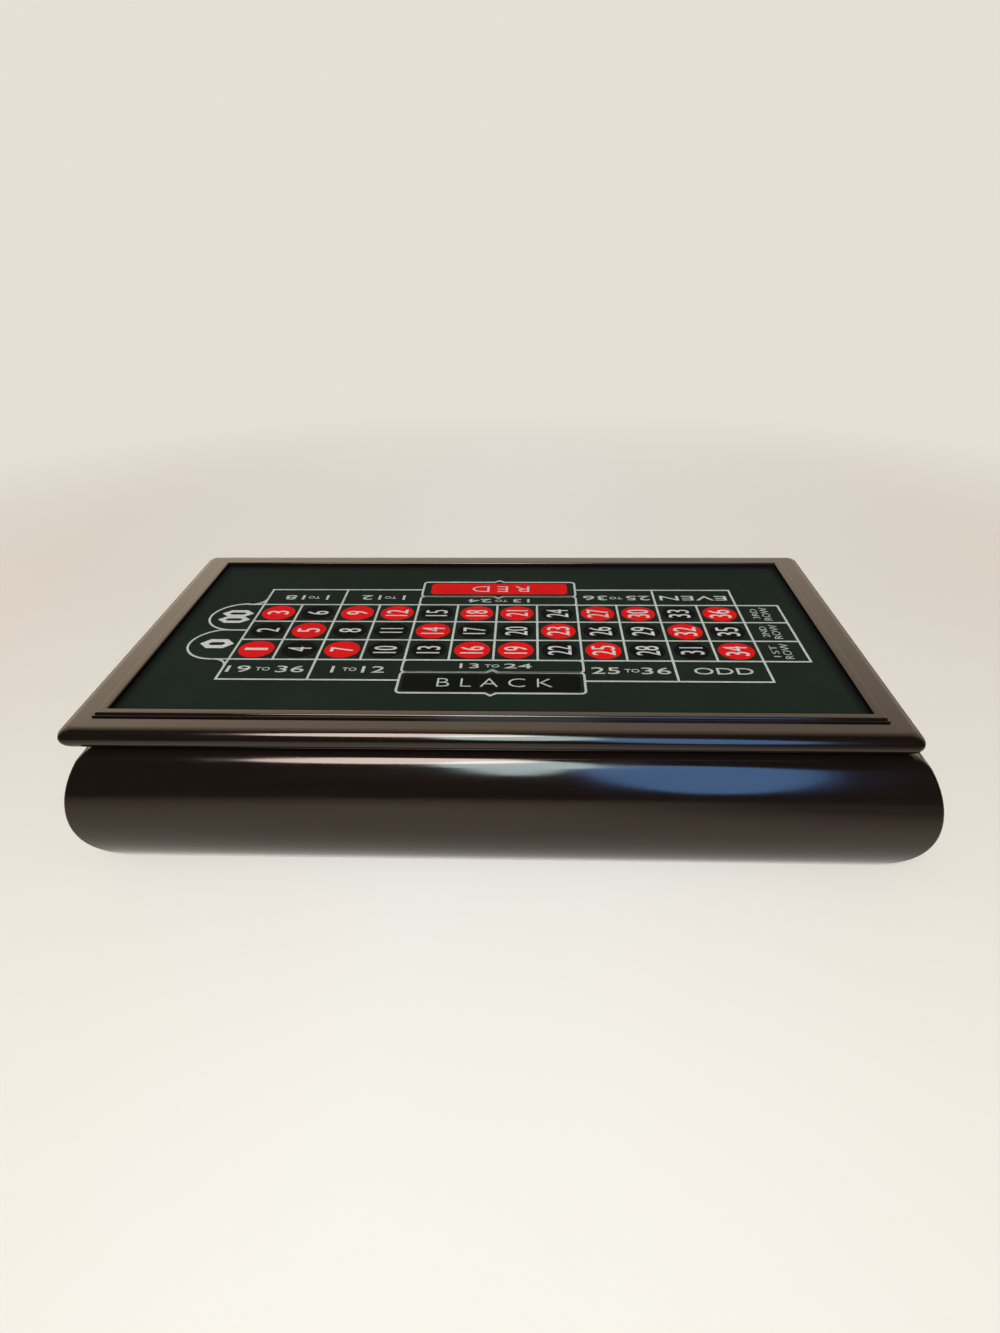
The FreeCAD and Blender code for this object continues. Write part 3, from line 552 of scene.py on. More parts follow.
def napped(title, dark, light, nap=900.0, lint=(0.10, 0.11, 0.09), sheen=0.01):
    finish, tree, shader = blank_finish(title)
    place = stretched_place(tree, (1, 1, 1))
    patches = noise(tree, place, 9.0, 5.0, 0.6)
    fibres = noise(tree, place, nap, 3.0, 0.7)
    threads = noise(tree, stretched_place(tree, (1, 5, 5), (0, 0, 0.4)), 160.0, 3.0, 0.6)
    tone = sum_of(tree, sum_of(tree, patches, 0.45, "MULTIPLY"), sum_of(tree, fibres, 0.55, "MULTIPLY"))
    colour = blend(tree, spread(tree, tone, 0.32, 0.68), dark, light)
    colour = over(tree, specks(tree, 170.0, 0.05, 0.95), colour, lint)
    # Painted shade: the felt is darkened in a narrow rim beside the bead.
    colour = over(tree, shaded_rim(tree, place), colour, (0.0012, 0.0016, 0.0012))
    height = sum_of(tree, fibres, sum_of(tree, threads, 0.6, "MULTIPLY"))
    dress(tree, shader, colour, spread(tree, fibres, 0.3, 0.7, 0.85, 1.0), height, 0.5, 0.0003)
    shader.inputs["Sheen Weight"].default_value = sheen
    shader.inputs["Specular IOR Level"].default_value = 0.06
    return finish


felt_finish = napped("layout_felt", (0.0052, 0.0098, 0.0056), (0.0118, 0.0205, 0.0122))
felt = start(
    "felt", bpy.ops.mesh.primitive_grid_add, (*felt_half, 1), (*lid_centre, felt_top),
    x_subdivisions=64, y_subdivisions=34, size=2,
)
cloth = felt.modifiers.new("cloth_thickness", "SOLIDIFY")
cloth.thickness = 1.0 * MM
cloth.offset = -1.0
hold(felt)
bpy.ops.object.modifier_apply(modifier=cloth.name)
shade(felt)
felt.data.materials.append(felt_finish)
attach(felt, "lid")
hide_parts("layout_felt")
print("felt faces:", len(felt.data.polygons))

# %% [markdown]
# ## The printed layout
# The layout is the common double-zero one: twelve by three numbered squares with the outside bets
# round them. It is drawn in squares of nearly 27 mm, and each print is a film of paint on the felt with
# its own small thickness, so that no two prints share a surface.

# %% Print helpers
SQUARE = 26.93
grid_corner = (-166.0, -41.2)
line_width = 0.052 * SQUARE
paint_rise = 0.07
prints = {"line": [], "red": [], "black": [], "white": []}


def spot(x, y, rise=0.0):
    """A place on the layout, from squares to millimetres."""
    return (grid_corner[0] + SQUARE * x, grid_corner[1] + SQUARE * y, felt_top + rise)


def thicken(piece, rise):
    """Raises a flat print into a film of paint."""
    enter(piece, "FACE")
    bpy.ops.mesh.extrude_region_move(TRANSFORM_OT_translate={"value": (0, 0, rise * MM)})
    close_up(piece)
    return piece


def hollow(piece, width):
    """Turns a flat shape into its outline."""
    enter(piece, "FACE")
    bpy.ops.mesh.inset(thickness=width * MM)
    bpy.ops.mesh.delete(type="ONLY_FACE")
    bpy.ops.object.mode_set(mode="OBJECT")
    return piece


def stroke(x0, y0, x1, y1, rise=paint_rise):
    """A straight line between two places on the layout."""
    size = (abs(x1 - x0) * SQUARE + line_width, abs(y1 - y0) * SQUARE + line_width, 1)
    line = start("stroke", bpy.ops.mesh.primitive_plane_add, size, spot((x0 + x1) / 2, (y0 + y1) / 2), size=1)
    prints["line"].append(thicken(line, rise))


def bow(x, y, radius, keep, rise):
    """Part of a circle: keep lists the sides on which it stays, as (axis, limit, sign)."""
    size = radius * SQUARE + line_width / 2
    ring = start(
        "bow", bpy.ops.mesh.primitive_circle_add, (size, size, 1), spot(x, y),
        vertices=72, radius=1, fill_type="NGON",
    )
    hollow(ring, line_width)
    enter(ring)
    for axis, limit, sign in keep:
        normal = (sign, 0, 0) if axis == "x" else (0, sign, 0)
        place = [value * MM for value in spot(limit, limit)]
        bpy.ops.mesh.select_all(action="SELECT")
        bpy.ops.mesh.bisect(plane_co=place, plane_no=normal, clear_outer=True, threshold=0.000001)
    bpy.ops.object.mode_set(mode="OBJECT")
    prints["line"].append(thicken(ring, rise))


print("one square is", SQUARE, "mm")

# %% [markdown]
# The number squares are one grid whose faces are inset one by one. What is left after the inner
# faces are taken away is a net of lines with clean crossings.

# %% Number squares and outside bets
net = start(
    "net", bpy.ops.mesh.primitive_grid_add, (12 * SQUARE, 3 * SQUARE, 1), spot(6, 1.5),
    x_subdivisions=12, y_subdivisions=3, size=1,
)
enter(net, "FACE")
bpy.ops.mesh.inset(thickness=line_width / 2 * MM, use_individual=True)
bpy.ops.mesh.delete(type="ONLY_FACE")
bpy.ops.object.mode_set(mode="OBJECT")
prints["line"].append(thicken(net, paint_rise))
BACK, FRONT = 3.96, -0.93
for x in (0, 2, 10, 12):
    stroke(x, FRONT, x, BACK, paint_rise + 0.01)
for y in (0, 3):
    stroke(-0.36, y, 13.03, y, paint_rise + 0.02)
stroke(-0.63, 1.5, 0, 1.5, paint_rise + 0.02)
for y in (1, 2):
    stroke(12, y, 13.03, y, paint_rise + 0.02)
stroke(13.03, 0, 13.03, 3, paint_rise + 0.01)
for y in (FRONT, BACK):
    for x0, x1 in ((0, 4), (8, 12)):
        stroke(x0, y, x1, y, paint_rise + 0.02)
bow(-0.40, 0.765, 0.765, (("x", -0.40, 1), ("y", 1.5, 1)), paint_rise + 0.03)
bow(-0.38, 2.265, 0.765, (("x", -0.38, 1), ("y", 1.5, -1)), paint_rise + 0.03)
bow(-0.36, -0.36, 0.36, (("x", -0.36, -1), ("y", -0.36, -1)), paint_rise + 0.03)
bow(-0.36, 3.36, 0.36, (("x", -0.36, -1), ("y", 3.36, 1)), paint_rise + 0.03)
print("lines so far:", len(prints["line"]))


# %% [markdown]
# The four long boxes have rounded corners and a small point in the middle of each long side. A
# plane is cut there, the middle is pulled out, and the corners are bevelled before it is hollowed.


# %% Long boxes
def nibbed_box(x0, x1, y0, y1, nibs, title):
    """A flat rounded box with points; a nib is a side (1 back, -1 front) and where it points."""
    size = ((x1 - x0) * SQUARE + line_width, (y1 - y0) * SQUARE + line_width, 1)
    box = start(title, bpy.ops.mesh.primitive_plane_add, size, spot((x0 + x1) / 2, (y0 + y1) / 2), size=1)
    enter(box)
    middle = spot((x0 + x1) / 2, 0)[0]
    half_nib, nib_rise = 0.13 * SQUARE, 0.11 * SQUARE
    for shift in (-half_nib, 0, half_nib):
        bpy.ops.mesh.select_all(action="SELECT")
        bpy.ops.mesh.bisect(plane_co=((middle + shift) * MM, 0, 0), plane_no=(1, 0, 0), threshold=0.000001)
    centre = spot(0, (y0 + y1) / 2)[1]
    for side, aim in nibs:
        pick_corners(box, lambda place: abs(place.x - middle) < 0.1 and (place.y - centre) * side > 0)
        bpy.ops.transform.translate(value=(0, aim * nib_rise * MM, 0))
    bpy.ops.mesh.select_mode(type="EDGE")
    pick_edges(box, lambda a, b: abs(a.x - b.x) < 0.01 and abs(a.x - middle) < half_nib + 0.1)
    bpy.ops.mesh.dissolve_edges(use_verts=False)
    reach = size[0] / 2 - 0.1
    pick_corners(box, lambda place: abs(place.x - middle) > reach)
    bpy.ops.mesh.bevel(offset=0.13 * SQUARE * MM, segments=6, affect="VERTICES")
    bpy.ops.object.mode_set(mode="OBJECT")
    return box


outward = ((-1, -1), (1, 1))
for y0, y1, nibs in (
    (3.0, 3.53, ((1, -1),)), (3.54, 4.48, outward), (-0.56, 0.0, ((-1, 1),)), (-1.47, -0.57, outward),
):
    outline = hollow(nibbed_box(4.0, 8.0, y0, y1, nibs, "long_box"), line_width)
    prints["line"].append(thicken(outline, paint_rise + 0.04))
red_slab = nibbed_box(4.24, 7.77, 3.71, 4.35, (), "red_slab")
prints["red"].append(thicken(red_slab, paint_rise - 0.03))
black_slab = nibbed_box(4.12, 7.88, -1.36, -0.69, (), "black_slab")
prints["black"].append(thicken(black_slab, paint_rise - 0.03))
print("long boxes drawn")

# %% [markdown]
# Each number stands on a red or a black disc. One disc of each colour would do for a drawing, but
# every printed disc is its own film here.

# %% Discs
RED_NUMBERS = (1, 3, 5, 7, 9, 12, 14, 16, 18, 19, 21, 23, 25, 27, 30, 32, 34, 36)


def number_place(number):
    return (number - 1) // 3 + 0.5, (number - 1) % 3 + 0.5


disc_radius = 0.41 * SQUARE
disc = start(
    "disc", bpy.ops.mesh.primitive_circle_add, (disc_radius, disc_radius, 1), spot(0, 0),
    vertices=48, radius=1, fill_type="NGON",
)
thicken(disc, paint_rise - 0.02)
for number in range(1, 37):
    copy = copy_of(disc, "disc_copy")
    x, y = number_place(number)
    copy.location = (x * SQUARE * MM, y * SQUARE * MM, 0)
    settle(copy)
    prints["red" if number in RED_NUMBERS else "black"].append(copy)
discard(disc)
print("discs:", len(prints["red"]) + len(prints["black"]) - 2)


# %% [markdown]
# The numbers and the plain words of the bets are set in Blender's own font. A text object is
# squeezed or widened, turned to the side from which it is read, and made a mesh.


# %% Numbers and words
def lettering(text, x, y, height, length, turn=0.0, weight=0.0, gap=1.0):
    """A word that fills a box of the layout, in squares: its centre, height and length."""
    clear_selection()
    bpy.ops.object.text_add()
    word = bpy.context.object
    word.data.body = text
    word.data.size = SQUARE * MM
    word.data.offset = weight * MM
    word.data.space_character = gap
    word.data.resolution_u = 3
    word.data.extrude = paint_rise / 2 * MM
    bpy.ops.object.convert(target="MESH")
    word = bpy.context.object
    bpy.ops.object.origin_set(type="ORIGIN_GEOMETRY", center="BOUNDS")
    wide, tall = word.dimensions.x / (SQUARE * MM), word.dimensions.y / (SQUARE * MM)
    word.scale = (length / wide, height / tall, 1)
    word.rotation_euler = (0, 0, math.radians(turn))
    word.location = [value * MM for value in spot(x, y, paint_rise / 2 + 0.05)]
    settle(word)
    return word


def digits_length(text, digit=0.205, one=0.10, gap=0.045):
    """How long a number is when a one is narrower than the other digits."""
    return sum(one if figure == "1" else digit for figure in text) + gap * (len(text) - 1)


for number in range(1, 37):
    x, y = number_place(number)
    prints["white"].append(lettering(str(number), x, y, 0.54, digits_length(str(number)), 90, 0.02))
front_bets = (
    ("19", 0.365, -0.46, 0.29, 0.53), ("TO", 0.91, -0.46, 0.15, 0.32), ("36", 1.525, -0.46, 0.29, 0.63),
    ("1", 2.47, -0.46, 0.29, 0.065), ("TO", 2.845, -0.46, 0.15, 0.31), ("12", 3.375, -0.46, 0.29, 0.51),
    ("13", 5.485, -0.27, 0.21, 0.43), ("TO", 5.99, -0.27, 0.13, 0.32), ("24", 6.56, -0.27, 0.21, 0.62),
    ("25", 8.475, -0.46, 0.29, 0.62), ("TO", 9.05, -0.46, 0.15, 0.32), ("36", 9.57, -0.46, 0.29, 0.64),
    ("ODD", 11.03, -0.46, 0.29, 1.28),
)
back_bets = (
    ("1", 1.55, 3.45, 0.27, 0.06), ("TO", 1.20, 3.45, 0.14, 0.30), ("18", 0.70, 3.45, 0.27, 0.50),
    ("1", 3.55, 3.45, 0.27, 0.06), ("TO", 3.20, 3.45, 0.14, 0.30), ("12", 2.70, 3.45, 0.27, 0.50),
    ("13", 6.60, 3.26, 0.20, 0.42), ("TO", 6.09, 3.26, 0.12, 0.32), ("24", 5.53, 3.26, 0.20, 0.60),
    ("25", 9.60, 3.45, 0.27, 0.60), ("TO", 9.03, 3.45, 0.14, 0.32), ("36", 8.50, 3.45, 0.27, 0.62),
    ("EVEN", 11.0, 3.45, 0.27, 1.70),
)
for text, x, y, height, length in front_bets:
    prints["line"].append(lettering(text, x, y, height, length, 0, 0.03))
for text, x, y, height, length in back_bets:
    prints["line"].append(lettering(text, x, y, height, length, 180, 0.03))
prints["line"].append(lettering("BLACK", 6.07, -1.02, 0.36, 2.47, 0, -0.45, 1.5))
prints["line"].append(lettering("RED", 6.05, 4.02, 0.35, 1.5, 180, -0.3, 1.3))
for row, order in enumerate(("1ST", "2ND", "3RD")):
    prints["line"].append(lettering(order, 12.36, row + 0.5, 0.16, 0.55, 90, -0.3))
    prints["line"].append(lettering("ROW", 12.62, row + 0.5, 0.19, 0.73, 90, -0.3))
print("numbers and words:", len(prints["white"]))


# %% [markdown]
# The zeros are drawn as long six-sided rings, two side by side for the double zero.


# %% Zeros
def zero(x, y, width, slot_width):
    """A six-sided ring that lies lengthwise along the layout."""
    size = (width / math.sqrt(3) * SQUARE, 0.40 * SQUARE, 1)
    ring = start(
        "zero", bpy.ops.mesh.primitive_circle_add, size, spot(x, y),
        vertices=6, radius=1, fill_type="NGON", rotation=(0, 0, math.pi / 2),
    )
    return hollow(ring, (width - slot_width) / 2 * SQUARE)


for x, y, width in ((-0.51, 0.765, 0.45), (-0.51, 2.09, 0.38), (-0.51, 2.44, 0.38)):
    rise = paint_rise + 0.05 + 0.01 * (y > 2.2)
    prints["white"].append(thicken(zero(x, y, width, 0.37 * width), rise))
print("zeros drawn")

# %% [markdown]
# The prints are joined by colour, so that there is one piece for each pass of the printer. The
# paint is matt and thin, so the felt's nap shows through it as a slight mottle.


# %% Paint
def printed(title, dark, light, shine=0.12, mottle=700.0):
    finish, tree, shader = blank_finish(title)
    place = stretched_place(tree, (1, 1, 1))
    fibres = noise(tree, place, mottle, 3.0, 0.7)
    worn = noise(tree, place, 60.0, 4.0, 0.6)
    tone = sum_of(tree, sum_of(tree, fibres, 0.6, "MULTIPLY"), sum_of(tree, worn, 0.4, "MULTIPLY"))
    colour = blend(tree, spread(tree, tone, 0.3, 0.66), dark, light)
    dress(tree, shader, colour, spread(tree, fibres, 0.3, 0.7, 0.7, 0.95), fibres, 0.35, 0.0002)
    shader.inputs["Specular IOR Level"].default_value = shine
    return finish


paints = {
    "line": printed("line_paint", (0.34, 0.36, 0.33), (0.58, 0.61, 0.56)),
    "red": printed("red_paint", (0.50, 0.005, 0.005), (0.78, 0.010, 0.010), 0.06),
    "black": printed("black_paint", (0.0022, 0.0026, 0.0026), (0.0055, 0.0060, 0.0055), 0.03),
    "white": printed("white_paint", (0.40, 0.40, 0.385), (0.68, 0.68, 0.65)),
}
titles = {"line": "layout_lines", "red": "red_prints", "black": "black_prints", "white": "numbers_and_words"}
for kind, pieces in prints.items():
    layer = joined(pieces, titles[kind])
    layer.data.materials.clear()
    layer.data.materials.append(paints[kind])
    enter(layer)
    bpy.ops.mesh.remove_doubles(threshold=0.0000005)
    bpy.ops.object.mode_set(mode="OBJECT")
    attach(layer, "lid")
    print(titles[kind], len(layer.data.polygons), "faces")

# %% [markdown]
# ## What lies inside
# The pieces of the set have the right shape already, so they only need their finishes. Wood shows
# its grain, metal is brushed or polished, and chips carry the usual pale edge marks.


# %% Plain woods, metals and plastics
def wood(title, along, dark, light, rough=(0.35, 0.5), relief=0.15):
    finish, tree, shader = blank_finish(title)
    streaks = spread(tree, grain(tree, along, 6.0, 120.0), 0.3, 0.7)
    pores = noise(tree, stretched_place(tree, (1, 1, 1)), 600.0, 2.0)
    colour = blend(tree, streaks, dark, light)
    dress(tree, shader, colour, spread(tree, streaks, 0, 1, *rough), sum_of(tree, streaks, pores), relief, 0.0001)
    return finish


def metal(title, tone, rough, relief=0.05):
    finish, tree, shader = blank_finish(title)
    marks = noise(tree, stretched_place(tree, (1, 1, 14)), 140.0, 4.0)
    dark = [value * 0.86 for value in tone]
    colour = blend(tree, spread(tree, marks, 0.3, 0.7), dark, tone)
    dress(tree, shader, colour, spread(tree, marks, 0.3, 0.7, *rough), marks, relief, 0.00005)
    shader.inputs["Metallic"].default_value = 1.0
    return finish


def moulded(title, tone, rough=(0.25, 0.4)):
    finish, tree, shader = blank_finish(title)
    flow = noise(tree, stretched_place(tree, (1, 1, 1)), 90.0, 4.0)
    dark = [value * 0.8 for value in tone]
    colour = blend(tree, spread(tree, flow, 0.3, 0.7), dark, tone)
    dress(tree, shader, colour, spread(tree, flow, 0.3, 0.7, *rough), flow, 0.05, 0.0001)
    return finish


print("recipes for wood, metal and plastic ready")

# %% [markdown]
# A chip's edge marks are eight pale bars. The bars turn with the angle round the row's axis, and
# each chip is turned by its own random amount, as chips are when they are dropped into a trough.


# %% Chips
def angle_round(tree, place, first, second):
    """The angle of a place round an axis, from its two coordinates across the axis."""
    parts = add(tree, "SeparateXYZ", {"Vector": place}).outputs
    return sum_of(tree, parts[first], parts[second], "ARCTAN2"), parts


def chip_finish(title, tone, mark, row):
    finish, tree, shader = blank_finish(title)
    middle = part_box(row)
    centre = [-(low + high) / 2 for low, high in zip(*middle)]
    place = stretched_place(tree, (1, 1, 1), (0, 0, 0), (-middle[0][0], centre[1], centre[2]))
    turn, parts = angle_round(tree, place, "Z", "Y")
    number = sum_of(tree, sum_of(tree, parts["X"], 2.6 * MM, "DIVIDE"), 0.0, "FLOOR")
    random = add(tree, "TexWhiteNoise", {"W": number}, noise_dimensions="1D").outputs["Value"]
    turned = sum_of(tree, turn, sum_of(tree, random, 6.2832, "MULTIPLY"))
    wave = sum_of(tree, sum_of(tree, turned, 6.0, "MULTIPLY"), 0.0, "SINE")
    bars = sum_of(tree, wave, 0.35, "GREATER_THAN")
    flow = noise(tree, place, 120.0, 3.0)
    colour = blend(tree, spread(tree, flow, 0.3, 0.7), [value * 0.8 for value in tone], tone)
    dress(tree, shader, over(tree, bars, colour, mark), spread(tree, flow, 0.3, 0.7, 0.3, 0.45), flow, 0.05, 0.0001)
    return finish


PALE, DARK = (0.75, 0.73, 0.66), (0.03, 0.03, 0.03)
chip_tones = {
    "red": ((0.45, 0.02, 0.02), PALE), "blue": ((0.02, 0.06, 0.35), PALE), "green": ((0.02, 0.2, 0.06), PALE),
    "yellow": ((0.75, 0.5, 0.05), PALE), "white": ((0.7, 0.68, 0.62), (0.05, 0.08, 0.3)), "black": (DARK, PALE),
}
finishes = {}
for colour_name, (tone, mark) in chip_tones.items():
    finishes["chip_" + colour_name] = chip_finish("chip_" + colour_name, tone, mark, "chips_" + colour_name)
print("chip finishes:", len(finishes))

# %% [markdown]
# The wheel's ring and pockets change colour with the angle: thirty-eight sectors, red and black by
# turns, and green for the two zeros, which lie opposite each other.

# %% Sector colours
POCKETS = 38


def sector_finish(title, gloss):
    finish, tree, shader = blank_finish(title)
    place = stretched_place(tree, (1, 1, 1), (0, 0, 0), (-wheel_x * MM, 0, 0))
    turn, parts = angle_round(tree, place, "Y", "X")
    share = sum_of(tree, sum_of(tree, turn, 2 * math.pi / POCKETS, "DIVIDE"), POCKETS + 0.5)
    number = sum_of(tree, sum_of(tree, share, 0.0, "FLOOR"), float(POCKETS), "MODULO")
    odd = sum_of(tree, number, 2.0, "MODULO")
    opposite = sum_of(tree, sum_of(tree, number, POCKETS / 2, "MODULO"), 0.5, "LESS_THAN")
    colour = blend(tree, odd, (0.42, 0.015, 0.018), (0.012, 0.012, 0.012))
    colour = over(tree, opposite, colour, (0.01, 0.16, 0.05))
    flow = noise(tree, place, 200.0, 3.0)
    dress(tree, shader, colour, spread(tree, flow, 0.3, 0.7, *gloss), flow, 0.04, 0.0001)
    return finish


finishes["ring_black"] = sector_finish("ring_enamel", (0.15, 0.25))
finishes["pocket_colours"] = sector_finish("pocket_enamel", (0.25, 0.4))
print("sectors:", POCKETS)

# %% All other finishes, and the construction model dressed
finishes.update({
    "stained_wood": wood("stained_wood", "X", (0.02, 0.011, 0.007), (0.05, 0.028, 0.018)),
    "plain_wood": wood("plain_wood", "X", (0.34, 0.22, 0.12), (0.55, 0.40, 0.25), (0.5, 0.7)),
    "panel_wood": wood("panel_wood", "X", (0.03, 0.02, 0.014), (0.07, 0.046, 0.032), (0.45, 0.6)),
    "layout_felt": felt_finish,
    "lining_felt": napped("lining_felt", (0.008, 0.008, 0.008), (0.02, 0.02, 0.02), 1200.0, (0.06, 0.06, 0.06)),
    "deck_finish": lacquer("deck_lacquer", "X", (0.010, 0.0055, 0.004), (0.026, 0.014, 0.009), dusty=False),
    "lacquered_wood": espresso["X"],
    "wheel_wood": lacquer("bowl_lacquer", "X", (0.075, 0.016, 0.006), (0.19, 0.052, 0.02), (0.1, 0.18), False),
    "cone_wood": lacquer("cone_lacquer", "X", (0.075, 0.016, 0.006), (0.19, 0.052, 0.02), (0.1, 0.18), False),
    "tray_wood": lacquer("tray_lacquer", "X", (0.012, 0.0065, 0.0045), (0.032, 0.017, 0.011), dusty=False),
    "steel": metal("ground_steel", (0.58, 0.58, 0.6), (0.25, 0.35)),
    "brass": metal("turned_brass", (0.80, 0.56, 0.24), (0.18, 0.3)),
    "screw_brass": metal("screw_brass", (0.74, 0.52, 0.24), (0.3, 0.42)),
    "chrome": metal("polished_chrome", (0.78, 0.78, 0.80), (0.06, 0.12), 0.02),
    "fret_metal": metal("fret_metal", (0.76, 0.76, 0.78), (0.25, 0.35)),
    "rotor_black": moulded("rotor_black", (0.02, 0.02, 0.02), (0.4, 0.55)),
    "ball_white": moulded("ball_white", (0.85, 0.84, 0.8), (0.12, 0.2)),
    "rake_wood": wood("rake_wood", "X", (0.16, 0.06, 0.02), (0.36, 0.16, 0.06), (0.2, 0.32)),
})
slot_of = {part["node"]: part["material_slot"] for part in frame["record"]["subparts"]}
for node, piece in frame["nodes"].items():
    for number in range(len(piece.material_slots)):
        piece.material_slots[number].material = finishes[slot_of[node]]
print("finishes given to", len(slot_of), "nodes")

# %% [markdown]
# ## The wheel's numbers
# The usual order of a double-zero wheel runs round the ring, one number to a sector, read from the
# rim. Each number is turned to its angle and laid on the sloping ring.

# %% Wheel numbers
WHEEL_ORDER = (
    "0", "28", "9", "26", "30", "11", "7", "20", "32", "17", "5", "22", "34", "15", "3", "24", "36", "13", "1",
    "00", "27", "10", "25", "29", "12", "8", "19", "31", "18", "6", "21", "33", "16", "4", "23", "35", "14", "2",
)
ring_radii, ring_levels = (62.0, 73.5), (37.5, 42.0)
ring_slope = math.atan2(ring_levels[1] - ring_levels[0], ring_radii[1] - ring_radii[0])
numeral_radius = 67.3
numeral_level = ring_levels[0] + (numeral_radius - ring_radii[0]) * math.tan(ring_slope)
numerals = []
for place, text in enumerate(WHEEL_ORDER):
    clear_selection()
    bpy.ops.object.text_add()
    word = bpy.context.object
    word.data.body = text
    word.data.align_x = "CENTER"
    word.data.align_y = "CENTER"
    word.data.size = 8.6 * MM
    word.data.offset = 0.15 * MM
    word.data.resolution_u = 2
    word.data.extrude = 0.05 * MM
    bpy.ops.object.convert(target="MESH")
    word = bpy.context.object
    word.scale = (0.66, 1, 1)
    word.rotation_euler = (ring_slope, 0, 0)
    bpy.ops.object.transform_apply(location=False, rotation=True, scale=True)
    turn = 2 * math.pi * place / POCKETS
    word.rotation_euler = (0, 0, turn - math.pi / 2)
    word.location = (
        (wheel_x + numeral_radius * math.cos(turn)) * MM, numeral_radius * math.sin(turn) * MM,
        (numeral_level + 0.04) * MM,
    )
    settle(word)
    numerals.append(word)
wheel_numbers = joined(numerals, "wheel_numbers")
wheel_numbers.data.materials.clear()
wheel_numbers.data.materials.append(paints["white"])
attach(wheel_numbers, "rotor")
print("wheel numbers:", len(WHEEL_ORDER))

# %% [markdown]
# ## Floor and light
# The case stands on a plain pale cloth. Far out the floor takes one even colour, which is also the
# colour behind it, so no horizon shows. A warm lamp high on the left draws the bright lines along the
# lid's edge and the shoulder, and a narrow streak lamp in front and a wide cool one on the right add
# cooler lines. These three show only in reflections. A wide lamp in front lights the case and the cloth
# and shows in no reflection. Behind the case the studio is bright and behind the viewer it is dim.

# %% Floor
PALE_CLOTH = (0.79, 0.74, 0.67)
floor = start("floor", bpy.ops.mesh.primitive_plane_add, (40000, 40000, 1), (0, 0, 0), size=1)
cloth_finish, tree, shader = blank_finish("pale_cloth")
place = stretched_place(tree, (1, 1, 1))
mottle = noise(tree, place, 3.0, 4.0)
spots = add(tree, "SeparateXYZ", {"Vector": place}).outputs
aside = spread(tree, sum_of(tree, spots["X"], 0.0, "ABSOLUTE"), 0.05, 0.50)
shade_of_cloth = sum_of(tree, aside, sum_of(tree, mottle, 0.35, "MULTIPLY"))
cloth_colour = blend(tree, spread(tree, shade_of_cloth, 0.1, 1.2), (0.875, 0.85, 0.785), (0.80, 0.72, 0.62))
weave = noise(tree, place, 900.0, 2.0)
dress(tree, shader, cloth_colour, spread(tree, weave, 0.3, 0.7, 0.85, 0.95), weave, 0.1, 0.0003)
distance = add(tree, "VectorMath", {0: add(tree, "TexCoord").outputs["Object"]}, operation="LENGTH")
far = spread(tree, distance.outputs["Value"], 0.28, 1.1)
even = add(tree, "Emission", {"Color": over(tree, far, cloth_colour, PALE_CLOTH), "Strength": 1.0})
rays = add(tree, "LightPath").outputs
# Camera rays see the even colour far out. Mirrored rays see it everywhere, a painted reflection that hides the
# floor's shadow near the case.
share = sum_of(tree, far, rays["Is Camera Ray"], "MULTIPLY")
share = sum_of(tree, share, sum_of(tree, rays["Is Glossy Ray"], 0.8, "MULTIPLY"), "MAXIMUM")
mixed = add(tree, "MixShader", {0: share, 1: shader.outputs["BSDF"], 2: even.outputs["Emission"]})
# Painted dark reflection: further out and off to the right, mirrored rays see a dim glow instead of the lit cloth.
dim = add(tree, "Emission", {"Color": (0.02, 0.018, 0.016, 1.0), "Strength": 1.0})
dark_reflection_mask = spread(tree, distance.outputs["Value"], 0.30, 0.72)
off_right = spread(tree, spots["X"], 0.0, 0.25, 0.0, 0.8)
off_right = sum_of(tree, off_right, spread(tree, spots["Y"], -0.17, -0.30, 0.15, 1.0), "MULTIPLY")
dark_reflection_mask = sum_of(tree, dark_reflection_mask, off_right, "MAXIMUM")
mirrored = sum_of(tree, dark_reflection_mask, rays["Is Glossy Ray"], "MULTIPLY")
mixed = add(tree, "MixShader", {0: mirrored, 1: mixed.outputs["Shader"], 2: dim.outputs["Emission"]})
tree.links.new(mixed.outputs["Shader"], tree.nodes["Material Output"].inputs["Surface"])
floor.data.materials.append(cloth_finish)
print("floor laid")


# %% Lamps
def soft_lamp(title, azimuth, elevation, away, width, height, power, tone, shape="RECTANGLE"):
    """A rectangular lamp that looks at the case; azimuth 0 is straight in front."""
    turn, rise = math.radians(azimuth), math.radians(elevation)
    place = (
        away * math.sin(turn) * math.cos(rise), -away * math.cos(turn) * math.cos(rise),
        0.06 + away * math.sin(rise),
    )
    clear_selection()
    bpy.ops.object.light_add(type="AREA", location=place, rotation=(math.pi / 2 - rise, 0, turn))
    lamp = bpy.context.object
    lamp.name = title
    lamp.data.shape = shape
    lamp.data.size, lamp.data.size_y = width, height
    lamp.data.energy = power
    lamp.data.color = tone
    return lamp


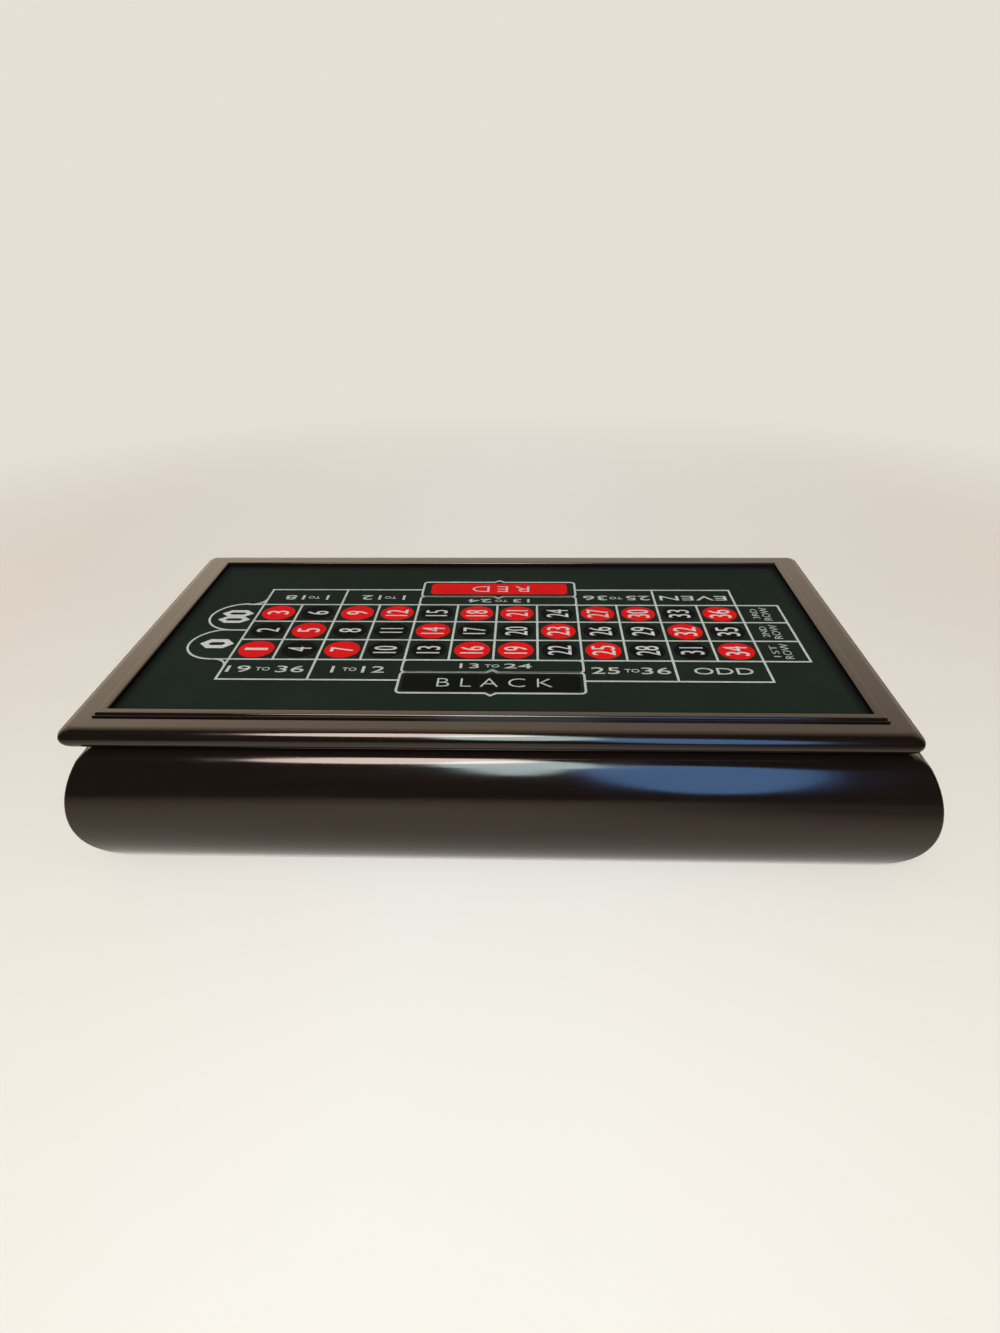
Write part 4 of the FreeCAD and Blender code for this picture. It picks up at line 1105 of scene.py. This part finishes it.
lamps = [
    soft_lamp("warm_lamp", -20, 58, 1.5, 0.60, 0.92, 19.5, (1.0, 0.94, 0.96), "ELLIPSE"),
    soft_lamp("streak_lamp", -0.5, 41.5, 1.5, 0.36, 1.30, 14.5, (0.58, 0.85, 1.0), "ELLIPSE"),
    soft_lamp("cool_lamp", 15.5, 24, 1.6, 0.52, 1.32, 10.6, (0.15, 0.40, 1.0), "ELLIPSE"),
    soft_lamp("front_lamp", -3, 38, 4.0, 2.6, 1.3, 210.0, (0.98, 0.99, 1.0)),
]
for lamp in lamps[:3]:
    lamp.visible_diffuse = False
lamps[3].visible_glossy = False
print("lamps:", [lamp.name for lamp in lamps])

# %% World
world = bpy.data.worlds.new("studio")
bpy.context.scene.world = world
world.use_nodes = True
tree = world.node_tree
background = tree.nodes["Background"]
parts = add(tree, "SeparateXYZ", {"Vector": add(tree, "TexCoord").outputs["Generated"]}).outputs
leftward = spread(tree, parts["X"], 0.35, -0.45, 1.0, 1.55)
behind = sum_of(tree, spread(tree, parts["Y"], -0.1, 0.5, 0.02, 1.0), leftward, "MULTIPLY")
behind = sum_of(tree, behind, spread(tree, parts["Z"], 0.42, 0.62, 1.0, 0.78), "MULTIPLY")
ahead = spread(tree, parts["Y"], 1.0, -1.0, 0.10, 0.30)
rays = add(tree, "LightPath").outputs
mirrored = sum_of(tree, rays["Is Glossy Ray"], rays["Is Transmission Ray"], "MAXIMUM")
scattered = sum_of(tree, sum_of(tree, 1.0, mirrored, "SUBTRACT"), ahead, "MULTIPLY")
level = sum_of(tree, sum_of(tree, behind, mirrored, "MULTIPLY"), scattered)
level = sum_of(tree, level, rays["Is Camera Ray"], "MAXIMUM")
tree.links.new(level, background.inputs["Strength"])
tone = over(tree, rays["Is Camera Ray"], blend(tree, mirrored, (1.0, 0.96, 0.91), (1.0, 0.84, 0.66)), PALE_CLOTH)
tree.links.new(tone, background.inputs["Color"])
bpy.context.scene.view_settings.view_transform = "Standard"
print("studio light ready")

# %% [markdown]
# ## Close the lesson

# %% Clear the selection
clear_selection()
